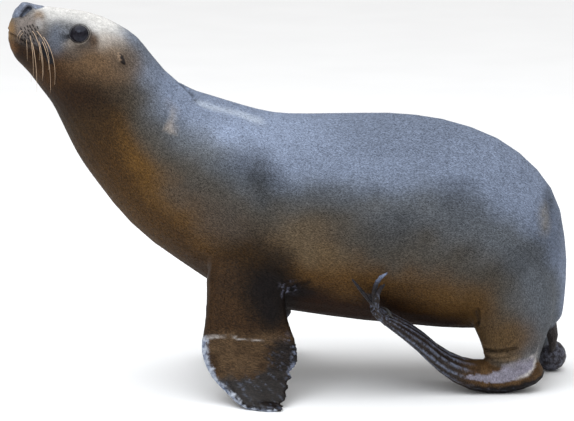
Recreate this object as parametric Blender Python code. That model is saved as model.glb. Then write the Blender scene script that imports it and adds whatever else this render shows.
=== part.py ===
"""A young South American sea lion, life size, standing on its four flippers with its head raised.

Metres, +Z up. The nose points to -X and the animal's left side faces -Y. The body is one loft
from nose to rump, cut into head, neck and trunk by thin planes. Each limb is a loft of its own
that starts inside the trunk and is cut back to the trunk's surface.
"""
import math

import bmesh
import bpy
import numpy as np
from mathutils import Matrix, Vector

GAP = 0.0003            # clearance between neighbouring solids
HEAD_TURN = math.radians(10.0)      # the head looks a little to the animal's left
TURN_FROM, TURN_TO = -0.06, -0.33   # stretch of the neck, in x, over which it turns

# The body from nose to rump. Each row is one cross-section of the straight body:
# x and z of its top, x and z of its bottom, half width, and how much wider it is below than above.
BODY = [
    (-0.4790, 0.6980, -0.4940, 0.6340, 0.026, 0.26),   # nose and chin
    (-0.4710, 0.7065, -0.4930, 0.6235, 0.034, 0.24),
    (-0.4600, 0.7060, -0.4900, 0.6140, 0.039, 0.20),   # whisker pads
    (-0.4420, 0.7010, -0.4835, 0.6020, 0.042, 0.16),
    (-0.4100, 0.6970, -0.4620, 0.5785, 0.047, 0.10),
    (-0.3770, 0.6925, -0.4415, 0.5500, 0.058, 0.10),   # eyes
    (-0.3440, 0.6850, -0.4200, 0.5200, 0.068, 0.12),   # cheeks
    (-0.3080, 0.6700, -0.4020, 0.4820, 0.077, 0.14),   # ears
    (-0.2670, 0.6430, -0.3810, 0.4370, 0.085, 0.12),
    (-0.2390, 0.6090, -0.3600, 0.4010, 0.092, 0.08),
    (-0.2080, 0.5720, -0.3330, 0.3630, 0.102, 0.04),   # nape
    (-0.1750, 0.5470, -0.2970, 0.3150, 0.113, 0.02),
    (-0.1300, 0.5310, -0.2500, 0.2670, 0.127, 0.00),
    (-0.0770, 0.5140, -0.1860, 0.2200, 0.143, 0.00),   # chest
    (-0.0220, 0.5000, -0.1120, 0.1730, 0.157, 0.00),
    (0.0300, 0.4965, -0.0290, 0.1390, 0.167, 0.02),
    (0.1190, 0.4975, 0.1200, 0.1160, 0.173, 0.05),
    (0.2080, 0.4975, 0.2110, 0.1065, 0.171, 0.06),     # belly
    (0.2980, 0.4860, 0.2960, 0.0980, 0.162, 0.04),
    (0.3900, 0.4540, 0.3520, 0.0960, 0.148, 0.02),
    (0.4600, 0.4025, 0.3800, 0.0970, 0.134, 0.00),     # hips
    (0.5055, 0.3380, 0.3960, 0.0970, 0.121, -0.02),
    (0.5230, 0.2560, 0.4100, 0.0950, 0.106, -0.06),
    (0.5250, 0.1870, 0.4280, 0.0880, 0.088, -0.06),
    (0.5205, 0.1270, 0.4500, 0.0810, 0.066, 0.00),     # root of the tail
]
HEAD_ROWS, NECK_ROWS = (0, 9), (9, 13)   # first and last row of each; the trunk takes the rest
HEAD_RINGS, NECK_RINGS, TRUNK_RINGS = 21, 6, 21
BODY_SIDES = 28

# Soft swellings and hollows of the head: centre x, y, z, reach, and push along x, y, z.
# Each is repeated on the other side with y reversed.
HEAD_FORMS = [
    (-0.4740, 0.036, 0.661, 0.019, -0.0010, 0.0060, 0.0000),   # whisker pad
    (-0.4920, 0.022, 0.664, 0.013, -0.0025, 0.0030, 0.0000),   # upper lip
    (-0.4320, 0.042, 0.650, 0.024, 0.0000, -0.0040, 0.0000),   # hollow behind the pad
    (-0.3700, 0.045, 0.679, 0.020, 0.0000, 0.0045, 0.0030),    # brow
    (-0.3600, 0.058, 0.612, 0.030, 0.0000, 0.0040, 0.0000),    # cheekbone
    (-0.4720, 0.034, 0.626, 0.014, 0.0000, -0.0030, 0.0000),   # groove under the lip
    (-0.4980, 0.012, 0.632, 0.013, -0.0025, 0.0010, -0.0010),  # chin
]

EYE_CENTRE = (-0.3730, 0.0395, 0.6480)   # right eye; the left one is its mirror image
EYE_RADIUS = 0.0200
EYE_SOCKET = EYE_RADIUS + GAP
NOSE_CENTRE, NOSE_RADII = (-0.4770, 0.0, 0.7000), (0.0310, 0.0205, 0.0185)
EAR_ROOT, EAR_TIP = (-0.3060, 0.056, 0.6170), (-0.2930, 0.075, 0.6010)
EAR_RADIUS = 0.0052

# The mouth line from the front to its corner, then down behind the lower jaw: x and z.
MOUTH_LINE = [(-0.540, 0.6500), (-0.503, 0.6490), (-0.480, 0.6420), (-0.438, 0.6220), (-0.422, 0.5980)]
JAW_UNDERSIDE = [(-0.434, 0.5200), (-0.560, 0.5200)]

# A fore flipper from inside the chest to its tip, on the right side. Each row is a chord:
# y and z of its middle, x of its leading and trailing edge, and half thickness.
FORE_FLIPPER = [
    (0.068, 0.280, -0.116, 0.006, 0.058),
    (0.108, 0.230, -0.136, 0.009, 0.047),
    (0.134, 0.190, -0.137, 0.007, 0.037),      # armpit
    (0.148, 0.158, -0.1385, 0.0085, 0.030),
    (0.158, 0.134, -0.1410, 0.0155, 0.025),
    (0.164, 0.115, -0.1440, 0.0225, 0.0215),   # wrist
    (0.172, 0.088, -0.1445, 0.0285, 0.0175),
    (0.182, 0.064, -0.1365, 0.0265, 0.0145),
    (0.196, 0.042, -0.1210, 0.0170, 0.0125),
    (0.212, 0.024, -0.0990, 0.0105, 0.0110),
    (0.229, 0.0095, -0.0790, 0.0070, 0.0095),
    (0.242, 0.0045, -0.0550, 0.0050, 0.0080),
    (0.251, 0.0025, -0.0310, 0.0000, 0.0050),
]
ARM_RINGS, HAND_RINGS, FLIPPER_SIDES = 8, 19, 14
WRIST_ROW = 5                                  # the hand starts at this row
NOTCH_START, NOTCH_COUNT, NOTCH_DEPTH = 0.22, 6, 0.014   # frayed trailing edge of the hand
FAR_HAND_TURN = math.radians(16)               # the right flipper is turned out a little more
FAR_ARM_FORWARD = 0.014                        # and moved forward, so that its root stays in the chest

# A hind leg from the hip to the ankle: x, y, z of its middle, half depth in x and half width in y.
HIND_LEG = [
    (0.4000, 0.0660, 0.255, 0.0900, 0.066),
    (0.4100, 0.0790, 0.195, 0.0880, 0.066),
    (0.4165, 0.0880, 0.145, 0.0800, 0.058),
    (0.4195, 0.0925, 0.105, 0.0650, 0.050),
    (0.4200, 0.0950, 0.075, 0.0540, 0.043),
    (0.4200, 0.0970, 0.045, 0.0480, 0.036),
]
LEG_RINGS, LEG_SIDES = 7, 18
FAR_LEG_BACK, FAR_LEG_IN = 0.056, 0.018   # the right foot stands further back and further in
FAR_LEG_TWIST = math.radians(75)          # and its toes point this far out to the side

# A hind foot from heel to toes: x, y, z of its middle, half width and half thickness.
RAISED_FOOT = [         # the left one, with its toes lifted in front of the belly
    (0.4720, -0.0980, 0.0480, 0.012, 0.0140),
    (0.4640, -0.0980, 0.0440, 0.027, 0.0240),
    (0.4430, -0.0990, 0.0360, 0.036, 0.0295),
    (0.4080, -0.1010, 0.0285, 0.038, 0.0315),
    (0.3720, -0.1030, 0.0280, 0.038, 0.0305),
    (0.3370, -0.1060, 0.0340, 0.038, 0.0245),
    (0.3050, -0.1100, 0.0500, 0.036, 0.0195),
    (0.2750, -0.1150, 0.0730, 0.035, 0.0155),
    (0.2440, -0.1240, 0.1030, 0.034, 0.0135),
    (0.2120, -0.1400, 0.1300, 0.032, 0.0115),
    (0.1820, -0.1560, 0.1525, 0.028, 0.0095),
    (0.1640, -0.1660, 0.1670, 0.023, 0.0075),
]
RESTING_FOOT = [        # the right one, flat on the floor with its toes out to the side
    (0.5135, 0.0280, 0.0290, 0.012, 0.0120),
    (0.5115, 0.0350, 0.0285, 0.023, 0.0240),
    (0.5055, 0.0520, 0.0285, 0.029, 0.0295),
    (0.4910, 0.0820, 0.0265, 0.035, 0.0270),
    (0.4810, 0.1160, 0.0220, 0.040, 0.0225),
    (0.4720, 0.1520, 0.0170, 0.043, 0.0175),
    (0.4650, 0.1880, 0.0130, 0.045, 0.0138),
    (0.4600, 0.2240, 0.0105, 0.046, 0.0112),
    (0.4560, 0.2600, 0.0085, 0.045, 0.0092),
]
FOOT_RINGS, FOOT_SIDES = 15, 14
# Toe flaps from the outer one to the inner one: share of the foot's width, length, the angle by
# which it leaves the foot's direction upwards, how far it curls beyond that, and its twist.
RAISED_TOES = [(-0.9, 0.045, 0.30, 0.0, 0.0), (-0.45, 0.100, 0.26, 0.0, 0.8), (0.0, 0.112, 0.64, 1.95, 1.0),
               (0.45, 0.094, 0.60, 1.50, 0.9), (0.9, 0.055, 0.30, 0.2, 0.0)]
RESTING_TOES = [(-0.9, 0.062, 0.0, 0.0, 0.0), (-0.45, 0.048, 0.0, 0.0, 0.0), (0.0, 0.046, 0.0, 0.0, 0.0),
                (0.45, 0.048, 0.0, 0.0, 0.0), (0.9, 0.060, 0.0, 0.0, 0.0)]
TOE_HALF_WIDTH, TOE_HALF_THICKNESS = 0.0066, 0.0028
CLAW_LENGTH, CLAW_HALF_WIDTH = 0.015, 0.0022

TAIL = [(0.472, 0.140, 0.034, 0.022), (0.494, 0.108, 0.026, 0.016), (0.502, 0.080, 0.019, 0.0115),
        (0.503, 0.060, 0.012, 0.008), (0.501, 0.048, 0.006, 0.005)]   # x, z, half width, half thickness


def clear_scene():
    for obj in list(bpy.data.objects):
        bpy.data.objects.remove(obj, do_unlink=True)


def material(name, colour, roughness):
    made = bpy.data.materials.new(name)
    made.use_nodes = True
    shader = made.node_tree.nodes["Principled BSDF"]
    shader.inputs["Base Color"].default_value = (*colour, 1.0)
    shader.inputs["Roughness"].default_value = roughness
    shader.inputs["Metallic"].default_value = 0.0
    return made


def smooth_rows(rows, places):
    """Rows read off a smooth curve through all of them, at places counted in rows."""
    table = np.array(rows, float)
    last = len(table) - 1
    slope = np.gradient(table, axis=0)
    found = []
    for place in places:
        i = min(int(place), last - 1)
        t = place - i
        found.append((2 * t**3 - 3 * t**2 + 1) * table[i] + (t**3 - 2 * t**2 + t) * slope[i]
                     + (3 * t**2 - 2 * t**3) * table[i + 1] + (t**3 - t**2) * slope[i + 1])
    return np.array(found)


def turn_path():
    """The middle line of the turned neck seen from above: old x, then new x and y, and its angle."""
    old = np.linspace(0.0, -0.70, 701)
    share = np.clip((old - TURN_FROM) / (TURN_TO - TURN_FROM), 0, 1)
    angle = HEAD_TURN * share**2 * (3 - 2 * share)
    step = old[1] - old[0]
    x = np.concatenate([[0], np.cumsum(step * np.cos(angle[:-1]))])
    y = np.concatenate([[0], np.cumsum(step * np.sin(angle[:-1]))])
    return old, x, y, angle


PATH = turn_path()


def turned(points):
    """Points of the straight body moved with the turn of the neck and head."""
    points = np.array(points, float).reshape(-1, 3)
    old, x, y, angle = (values[::-1] for values in PATH)
    front = points[:, 0] < 0
    a = np.where(front, np.interp(points[:, 0], old, angle), 0.0)
    px = np.where(front, np.interp(points[:, 0], old, x), points[:, 0])
    py = np.where(front, np.interp(points[:, 0], old, y), 0.0)
    moved = points.copy()
    moved[:, 0] = px - points[:, 1] * np.sin(a)
    moved[:, 1] = py + points[:, 1] * np.cos(a)
    return moved


def mirrored(point):
    return (point[0], -point[1], point[2])


def add_mesh(name, rings, finish, flip=False):
    """A closed mesh through rings of equally many points, with a fan over each end."""
    mesh = bmesh.new()
    loops = [[mesh.verts.new(p) for p in ring] for ring in rings]
    for low, high in zip(loops, loops[1:]):
        for k in range(len(low)):
            n = (k + 1) % len(low)
            mesh.faces.new((low[k], low[n], high[n], high[k]))
    for loop, order in ((loops[0], -1), (loops[-1], 1)):
        hub = mesh.verts.new(sum((v.co for v in loop), Vector()) / len(loop))
        for k in range(len(loop)):
            pair = (loop[k], loop[(k + 1) % len(loop)])
            mesh.faces.new((*pair[::order], hub))
    bmesh.ops.triangulate(mesh, faces=mesh.faces[:])
    bmesh.ops.recalc_face_normals(mesh, faces=mesh.faces[:])
    data = bpy.data.meshes.new(name)
    mesh.to_mesh(data)
    mesh.free()
    data.shade_smooth()
    data.materials.append(finish)
    obj = bpy.data.objects.new(name, data)
    bpy.context.scene.collection.objects.link(obj)
    return obj


def points_of(obj):
    found = np.empty(len(obj.data.vertices) * 3)
    obj.data.vertices.foreach_get("co", found)
    return found.reshape(-1, 3)


def set_points(obj, points):
    obj.data.vertices.foreach_set("co", np.asarray(points, float).ravel())
    obj.data.update()


def cutter(obj, by):
    """A hidden copy of obj, grown along its normals."""
    copy = bpy.data.objects.new("cutter", obj.data.copy())
    bpy.context.scene.collection.objects.link(copy)
    normals = np.array([v.normal[:] for v in copy.data.vertices])
    set_points(copy, points_of(copy) + normals * by)
    copy.hide_render = True
    copy.display_type = "WIRE"
    return copy


def boolean(obj, other, operation):
    """Applies one exact Boolean to obj and keeps the result as its mesh."""
    step = obj.modifiers.new(operation.title(), "BOOLEAN")
    step.operation, step.object, step.solver = operation, other, "EXACT"
    bpy.context.view_layer.update()
    result = bpy.data.meshes.new_from_object(obj.evaluated_get(bpy.context.evaluated_depsgraph_get()))
    obj.modifiers.clear()
    obj.data = result
    return obj


def cut_back(obj, *others):
    for other in others:
        shape = cutter(other, GAP)
        boolean(obj, shape, "DIFFERENCE")
        bpy.data.objects.remove(shape)


# ---- body -------------------------------------------------------------------------------

def body_ring(row, sides):
    top_x, top_z, bottom_x, bottom_z, half_width, low_width = row
    turn = np.linspace(0, 2 * math.pi, sides, endpoint=False)
    up, out = np.sin(turn), np.cos(turn)
    middle = np.array([(top_x + bottom_x) / 2, 0, (top_z + bottom_z) / 2])
    rise = np.array([(top_x - bottom_x) / 2, 0, (top_z - bottom_z) / 2])
    side = half_width * out * (1 - low_width * up)
    return middle + up[:, None] * rise + side[:, None] * np.array([0, 1, 0])


def body_rings(first, last, count):
    return [body_ring(row, BODY_SIDES) for row in smooth_rows(BODY, np.linspace(first, last, count))]


def shifted(ring, towards, by):
    """A ring moved by a small step towards a neighbouring ring."""
    step = towards.mean(0) - ring.mean(0)
    return ring + step / np.linalg.norm(step) * by


def muzzle_cap(ring):
    """Smaller rings that round off the front of the muzzle."""
    middle = ring.mean(0)
    forward = np.array([-0.93, 0, 0.36])
    return [middle + (ring - middle) * math.cos(a) + forward * 0.0075 * math.sin(a)
            for a in np.radians((78, 58, 36, 16))]


def formed_head(points):
    """The head's points pushed by its swellings and hollows."""
    points = points.copy()
    start = points.copy()
    for x, y, z, reach, dx, dy, dz in HEAD_FORMS:
        for side in (1, -1):
            away = np.linalg.norm(start - np.array([x, side * y, z]), axis=1) / reach
            points += np.exp(-away**2)[:, None] * np.array([dx, side * dy, dz])
    return points


def body(fur):
    """Head, neck and trunk, in the straight pose."""
    last = len(BODY) - 1
    head = body_rings(*HEAD_ROWS, HEAD_RINGS)
    neck = body_rings(*NECK_ROWS, NECK_RINGS)
    trunk = body_rings(NECK_ROWS[1], last, TRUNK_RINGS)
    head[-1] = shifted(head[-1], head[-2], GAP / 2)
    neck[0] = shifted(neck[0], neck[1], GAP / 2)
    neck[-1] = shifted(neck[-1], neck[-2], GAP / 2)
    trunk[0] = shifted(trunk[0], trunk[1], GAP / 2)
    rump = trunk[-1].mean(0)
    trunk.append(rump + np.array([-0.004, 0, -0.012]) + (trunk[-1] - rump) * 0.55)
    made = [add_mesh("head", muzzle_cap(head[0]) + head, fur), add_mesh("neck", neck, fur),
            add_mesh("trunk", trunk, fur)]
    set_points(made[0], formed_head(points_of(made[0])))
    return made


# ---- head parts ------------------------------------------------------------------------------

def ball(name, centre, radii, finish, rows=8, sides=14):
    rings = []
    for a in np.linspace(-math.pi / 2, math.pi / 2, rows + 2)[1:-1]:
        turn = np.linspace(0, 2 * math.pi, sides, endpoint=False)
        ring = np.stack([np.cos(turn) * math.cos(a), np.sin(turn) * math.cos(a),
                         np.full(sides, math.sin(a))], axis=1)
        rings.append(ring * np.array(radii) + np.array(centre))
    return add_mesh(name, rings, finish)


def jaw_block(name, grow, finish):
    """A block with the mouth line as its upper face, wide enough to cut right through the muzzle."""
    outline = [(x, z + grow) for x, z in MOUTH_LINE] + JAW_UNDERSIDE
    corner = len(MOUTH_LINE) - 1
    outline[corner] = (outline[corner][0] + grow, outline[corner][1])
    outline[corner + 1] = (outline[corner + 1][0] + grow, outline[corner + 1][1])
    rings = [[(x, y, z) for x, z in outline] for y in (-0.09, 0.09)]
    return add_mesh(name, rings, finish)


def split(obj, name, shape, grown, finish):
    """Takes the piece inside shape out of obj as a new object, and leaves a thin gap round it."""
    piece = bpy.data.objects.new(name, obj.data.copy())
    bpy.context.scene.collection.objects.link(piece)
    boolean(piece, shape, "INTERSECT")
    boolean(obj, grown, "DIFFERENCE")
    piece.data.name = name
    piece.data.materials.clear()
    piece.data.materials.append(finish)
    for helper in (shape, grown):
        bpy.data.objects.remove(helper)
    return piece


def head_parts(head, fur, skin, eye):
    grown = [r + GAP for r in NOSE_RADII]
    nose = split(head, "nose", ball("shape", NOSE_CENTRE, NOSE_RADII, skin),
                 ball("grown", NOSE_CENTRE, grown, skin), skin)
    jaw = split(head, "lower_jaw", jaw_block("shape", 0.0, fur), jaw_block("grown", GAP, fur), fur)
    made = [nose, jaw]
    for side, place in (("right", EYE_CENTRE), ("left", mirrored(EYE_CENTRE))):
        made.append(ball(f"eye_{side}", place, [EYE_RADIUS] * 3, eye))
        socket = ball("socket", place, [EYE_SOCKET] * 3, eye)
        boolean(head, socket, "DIFFERENCE")
        bpy.data.objects.remove(socket)
    for side, sign in (("right", 1), ("left", -1)):
        made.append(ear(f"ear_{side}", sign, skin))
        cut_back(made[-1], head)
    return made


def ear(name, sign, skin):
    """A small rolled pinna: a cone that points back and down, thickest a third of the way along."""
    root, tip = (Vector((p[0], sign * p[1], p[2])) for p in (EAR_ROOT, EAR_TIP))
    rings = []
    for share, size in ((-0.35, 0.9), (0.0, 1.0), (0.3, 1.05), (0.6, 0.86), (0.85, 0.55), (0.98, 0.22)):
        middle = root.lerp(tip, share) + Vector((0, 0, -0.004 * share * share))
        rings.append(oval(middle, tip - root, Vector((1, 0, 0)), EAR_RADIUS * size,
                          EAR_RADIUS * size * 0.8, 10))
    return add_mesh(name, rings, skin)


def oval(middle, along, across, half_across, half_other, sides):
    """An elliptical ring square to along, with its first axis as near to across as that allows."""
    along = Vector(along).normalized()
    across = Vector(across)
    across = (across - along * across.dot(along)).normalized()
    other = along.cross(across)
    return [Vector(middle) + across * half_across * math.cos(a) + other * half_other * math.sin(a)
            for a in np.linspace(0, 2 * math.pi, sides, endpoint=False)]


# ---- fore flippers --------------------------------------------------------------------------

def notch(share):
    """How far the frayed trailing edge is cut in at this share of the flipper's length."""
    if share < NOTCH_START:
        return 0.0
    phase = (share - NOTCH_START) / (1 - NOTCH_START) * NOTCH_COUNT
    return NOTCH_DEPTH * (phase % 1.0) ** 2 * min(1.0, 4 * (1 - share) + 0.2)


def flipper_section(y, z, lead, trail, thick, normal, sides):
    """A wing-like section: a thick round leading edge and a thin trailing edge."""
    ring = []
    for a in np.linspace(0, 2 * math.pi, sides, endpoint=False):
        share = (1 - math.cos(a)) / 2
        depth = thick * math.sin(a) * (1.15 - 0.62 * share)
        ring.append(Vector((lead + (trail - lead) * share, y, z)) + normal * depth)
    return ring


def chord_rings(first, last, count, sign, frayed):
    """Rings of the fore flipper between two of its rows."""
    rows = smooth_rows(FORE_FLIPPER, np.linspace(first, last, count))
    rings = []
    for i, (y, z, lead, trail, thick) in enumerate(rows):
        before, after = rows[max(i - 1, 0)], rows[min(i + 1, count - 1)]
        along = Vector((0, after[0] - before[0], after[1] - before[1])).normalized()
        normal = Vector((0, -along.z, along.y))
        if frayed:
            trail -= notch(i / (count - 1))
        ring = flipper_section(y, z, lead, trail, thick, normal, FLIPPER_SIDES)
        rings.append([Vector((p.x, sign * p.y, max(p.z, 0.0))) for p in ring])
    return rings


def fore_flipper(side, sign, turn, fur):
    arm = chord_rings(0, WRIST_ROW, ARM_RINGS, sign, False)
    hand = chord_rings(WRIST_ROW, len(FORE_FLIPPER) - 1, HAND_RINGS, sign, True)
    arm[-1] = moved_ring(arm[-1], arm[-2])
    hand[0] = moved_ring(hand[0], hand[1])
    made = (add_mesh(f"fore_flipper_arm_{side}", arm, fur),
            add_mesh(f"fore_flipper_hand_{side}", hand, fur))
    pivot = sum(arm[-1], Vector()) / len(arm[-1])
    forward = Vector((-FAR_ARM_FORWARD * math.sin(turn), 0, 0))
    about = Matrix.Translation(pivot + forward) @ Matrix.Rotation(turn, 4, "Z") @ Matrix.Translation(-pivot)
    for obj in made:
        obj.data.transform(about)
    return made


def moved_ring(ring, towards):
    """The ring drawn back by half a gap towards its neighbour."""
    step = sum(towards, Vector()) / len(towards) - sum(ring, Vector()) / len(ring)
    return [p + step.normalized() * GAP / 2 for p in ring]


# ---- hind limbs -------------------------------------------------------------------------------

def hind_leg(side, sign, back, inward, twist, fur):
    rows = smooth_rows(HIND_LEG, np.linspace(0, len(HIND_LEG) - 1, LEG_RINGS))
    rings = []
    for i, (x, y, z, deep, wide) in enumerate(rows):
        share = (i / (len(rows) - 1)) ** 2
        front = (math.cos(twist * share), -sign * math.sin(twist * share), 0)
        middle = (x + back * share, sign * (y - inward * share), z)
        rings.append(oval(middle, (0, 0, -1), front, deep, wide, LEG_SIDES))
    return add_mesh(f"hind_leg_{side}", rings, fur)


def foot_frame(rows, i, across):
    """Middle, direction and width axis of a foot's section."""
    before, after = rows[max(i - 1, 0)], rows[min(i + 1, len(rows) - 1)]
    along = (Vector(after[:3]) - Vector(before[:3])).normalized()
    across = Vector(across)
    across = (across - along * across.dot(along)).normalized()
    return Vector(rows[i][:3]), along, across


def toe(root, along, across, lift, length, rise, curl, twist):
    """Rings of a soft flap beyond a toe: it turns towards lift by rise, curls at its end and twists."""
    rings, place, steps = [], Vector(root), 7
    for k in range(steps + 1):
        share = k / steps
        angle = rise * min(1.0, 4 * share) + curl * share**3
        heading = along * math.cos(angle) + lift * math.sin(angle)
        taper = 1 - 0.5 * share**4
        wide = Matrix.Rotation(twist * min(1.0, 1.6 * share), 3, heading) @ across
        rings.append(oval(place, heading, wide, TOE_HALF_WIDTH * taper, TOE_HALF_THICKNESS * taper, 6))
        place += heading * length / steps
    return rings


def claw(name, root, along, lift, horn):
    """A small nail that lies on top of a toe and points along it."""
    rings = []
    for k in range(5):
        share = k / 4
        middle = root + along * CLAW_LENGTH * share + lift * (0.004 * share - 0.003 * share**2)
        rings.append(oval(middle, along, lift, CLAW_HALF_WIDTH * (1 - 0.8 * share),
                          CLAW_HALF_WIDTH * (1 - 0.8 * share), 8))
    return add_mesh(name, rings, horn)


def hind_foot(side, stations, across, toes, fur, horn):
    """The foot with its toe flaps, and the nails of the three middle toes."""
    rows = smooth_rows(stations, np.linspace(0, len(stations) - 1, FOOT_RINGS))
    rings = []
    for i, row in enumerate(rows):
        middle, along, width = foot_frame(rows, i, across)
        rings.append([Vector((p.x, p.y, max(p.z, 0.0)))
                      for p in oval(middle, along, width, row[3], row[4], FOOT_SIDES)])
    foot = add_mesh(f"hind_flipper_{side}", rings, fur)
    middle, along, width = foot_frame(rows, len(rows) - 2, across)
    lift = width.cross(along)
    lift = lift if lift.z > 0 else -lift
    nails = []
    for place, length, rise, curl, twist in toes:
        out = width * place * (rows[-2][3] - TOE_HALF_WIDTH)
        spread = (along + width * place * 0.22).normalized()
        root = middle + out - along * 0.012
        flap = add_mesh("toe", toe(root, spread, width, lift, length, rise, curl, twist), fur)
        set_points(flap, np.maximum(points_of(flap), (-9, -9, 0.0)))
        boolean(foot, flap, "UNION")
        bpy.data.objects.remove(flap)
        if abs(place) < 0.8:
            root = middle + out - along * 0.016 + lift * (rows[-2][4] + 0.001)
            nails.append(claw(f"claw_{side}_{len(nails) + 1}", root, spread, lift, horn))
    for nail in nails:
        cut_back(nail, foot)
    return foot, nails


def tail(fur):
    rings = [oval((x, 0, z), (0.1, 0, -1), (0, 1, 0), wide, thick, 14) for x, z, wide, thick in TAIL]
    return add_mesh("tail", rings, fur)


# ---- the whole animal --------------------------------------------------------------------------

def centre_on_floor(objects):
    """Moves everything so that the origin is the middle of the animal's footprint, on the floor."""
    points = np.concatenate([points_of(o) for o in objects])
    middle = (points.min(0) + points.max(0)) / 2
    middle[2] = points[:, 2].min()
    for obj in objects:
        set_points(obj, points_of(obj) - middle)


def build():
    clear_scene()
    fur = material("short_fur", (0.12, 0.095, 0.07), 0.55)
    skin = material("bare_skin", (0.03, 0.03, 0.035), 0.35)
    eye = material("eye", (0.01, 0.008, 0.008), 0.05)
    horn = material("claw", (0.05, 0.04, 0.035), 0.4)
    head, neck, trunk = body(fur)
    small = head_parts(head, fur, skin, eye)
    front = [head, neck, *small]
    for obj in front:
        set_points(obj, turned(points_of(obj)))
    set_points(trunk, turned(points_of(trunk)))
    limbs = []
    for side, sign, turn in (("right", 1, FAR_HAND_TURN), ("left", -1, 0.0)):
        arm, hand = fore_flipper(side, sign, turn, fur)
        cut_back(arm, trunk)
        limbs += [arm, hand]
    raised, raised_nails = hind_foot("left", RAISED_FOOT, (0, -1, -0.15), RAISED_TOES, fur, horn)
    resting, resting_nails = hind_foot("right", RESTING_FOOT, (1, 0, 0), RESTING_TOES, fur, horn)
    stance = (FAR_LEG_BACK, FAR_LEG_IN, FAR_LEG_TWIST)
    for side, sign, moved, foot in (("left", -1, (0, 0, 0), raised), ("right", 1, stance, resting)):
        leg = hind_leg(side, sign, *moved, fur)
        cut_back(leg, trunk, foot)
        limbs += [leg, foot]
    limbs += [*raised_nails, *resting_nails]
    end = tail(fur)
    cut_back(end, trunk)
    everything = [*front, trunk, *limbs, end]
    centre_on_floor(everything)


build()
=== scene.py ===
"""Looks of the sea lion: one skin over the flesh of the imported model, short fur, eyes, nails and whiskers.

Metres, +Z up, nose to -X, the animal's left side to -Y. Places on the head are given in its own
frame: forward, outward and upward from the point midway between the eyes, on either side alike.
"""
import math

import bmesh
import bpy
import numpy as np
from mathutils import Matrix, Vector
from mathutils.bvhtree import BVHTree


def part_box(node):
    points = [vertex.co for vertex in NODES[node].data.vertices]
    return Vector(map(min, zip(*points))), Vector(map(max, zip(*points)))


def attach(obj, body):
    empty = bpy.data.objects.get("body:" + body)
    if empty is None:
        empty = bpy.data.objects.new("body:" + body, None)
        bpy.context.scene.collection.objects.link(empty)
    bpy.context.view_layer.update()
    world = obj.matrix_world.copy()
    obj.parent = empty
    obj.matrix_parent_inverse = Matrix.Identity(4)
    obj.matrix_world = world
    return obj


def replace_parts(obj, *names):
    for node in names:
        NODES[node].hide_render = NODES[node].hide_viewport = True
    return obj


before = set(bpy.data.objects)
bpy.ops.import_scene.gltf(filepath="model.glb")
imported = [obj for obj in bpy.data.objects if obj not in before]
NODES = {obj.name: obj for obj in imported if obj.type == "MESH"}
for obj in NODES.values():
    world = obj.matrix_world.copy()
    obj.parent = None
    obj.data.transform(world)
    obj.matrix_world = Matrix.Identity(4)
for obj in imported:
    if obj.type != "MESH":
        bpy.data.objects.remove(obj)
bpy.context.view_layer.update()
RNG = np.random.default_rng(7)

SIDES = ("left", "right")
FLESH = [name for name in NODES if not name.startswith(("claw", "eye"))]
BODY_NODES = ("head", "lower_jaw", "nose", "neck", "trunk")
EARS = ("ear_left", "ear_right")
HANDS = ("fore_flipper_hand_left", "fore_flipper_hand_right")
FEET = ("hind_flipper_left", "hind_flipper_right")
UPPER_LIMBS = ("fore_flipper_arm_left", "fore_flipper_arm_right", "hind_leg_left", "hind_leg_right")

VOXEL = 0.0024   # grid of the mesh that the skin starts as
COAT_DEPTH = 0.001                         # the skin lies this far inside the solids where fur grows
EYE_RADIUS = 0.02
UP = np.array([0.0, 0.0, 1.0])

# Middle line of the body from muzzle to rump, x and z.
AXIS = [(-0.52, 0.668), (-0.48, 0.656), (-0.43, 0.625), (-0.385, 0.585), (-0.34, 0.535), (-0.305, 0.49),
        (-0.26, 0.445), (-0.2, 0.402), (-0.14, 0.368), (-0.07, 0.337), (0, 0.317), (0.11, 0.306),
        (0.2, 0.301), (0.29, 0.29), (0.365, 0.27), (0.415, 0.24), (0.45, 0.195), (0.465, 0.135)]


# ---- small tools ----

def unit(vectors):
    length = np.linalg.norm(vectors, axis=-1, keepdims=True)
    return vectors / np.maximum(length, 1e-12)


def ease(low, high, values):
    """0 below low and 1 above high, with a smooth step between them."""
    share = np.clip((values - low) / (high - low), 0.0, 1.0)
    return share * share * (3 - 2 * share)


def bell(distance, reach):
    return np.exp(-(distance / reach) ** 2)


def get(items, name, width=1, kind=float):
    found = np.empty(len(items) * width, kind)
    items.foreach_get(name, found)
    return found.reshape(-1, width) if width > 1 else found


def points_of(mesh):
    return get(mesh.vertices, "co", 3)


def normals_of(mesh):
    return get(mesh.vertices, "normal", 3)


def move_points(mesh, points):
    mesh.vertices.foreach_set("co", np.asarray(points, float).ravel())
    mesh.update()


def new_object(name, data):
    obj = bpy.data.objects.new(name, data)
    bpy.context.scene.collection.objects.link(obj)
    return obj


def new_piece(name, mesh):
    """A visible piece of the model that rides on its only body."""
    piece = new_object(name, mesh)
    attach(piece, "root")
    return piece


def with_modifiers(obj):
    """The object's mesh with its modifiers applied, in place of the object."""
    bpy.context.view_layer.update()
    mesh = bpy.data.meshes.new_from_object(obj.evaluated_get(bpy.context.evaluated_depsgraph_get()))
    bpy.data.objects.remove(obj)
    return mesh


def triangles_of(names):
    """Points and triangles of some CAD nodes, and the place of each triangle's node in names."""
    points, faces, owner, count = [], [], [], 0
    for place, name in enumerate(names):
        mesh = NODES[name].data
        mesh.calc_loop_triangles()
        part = get(mesh.loop_triangles, "vertices", 3, np.int32)
        points.append(points_of(mesh))
        faces.append(part + count)
        owner.append(np.full(len(part), place))
        count += len(mesh.vertices)
    return np.concatenate(points), np.concatenate(faces), np.concatenate(owner)


def tree_of(names):
    points, faces, owner = triangles_of(names)
    return BVHTree.FromPolygons(points.tolist(), faces.tolist()), owner


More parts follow.
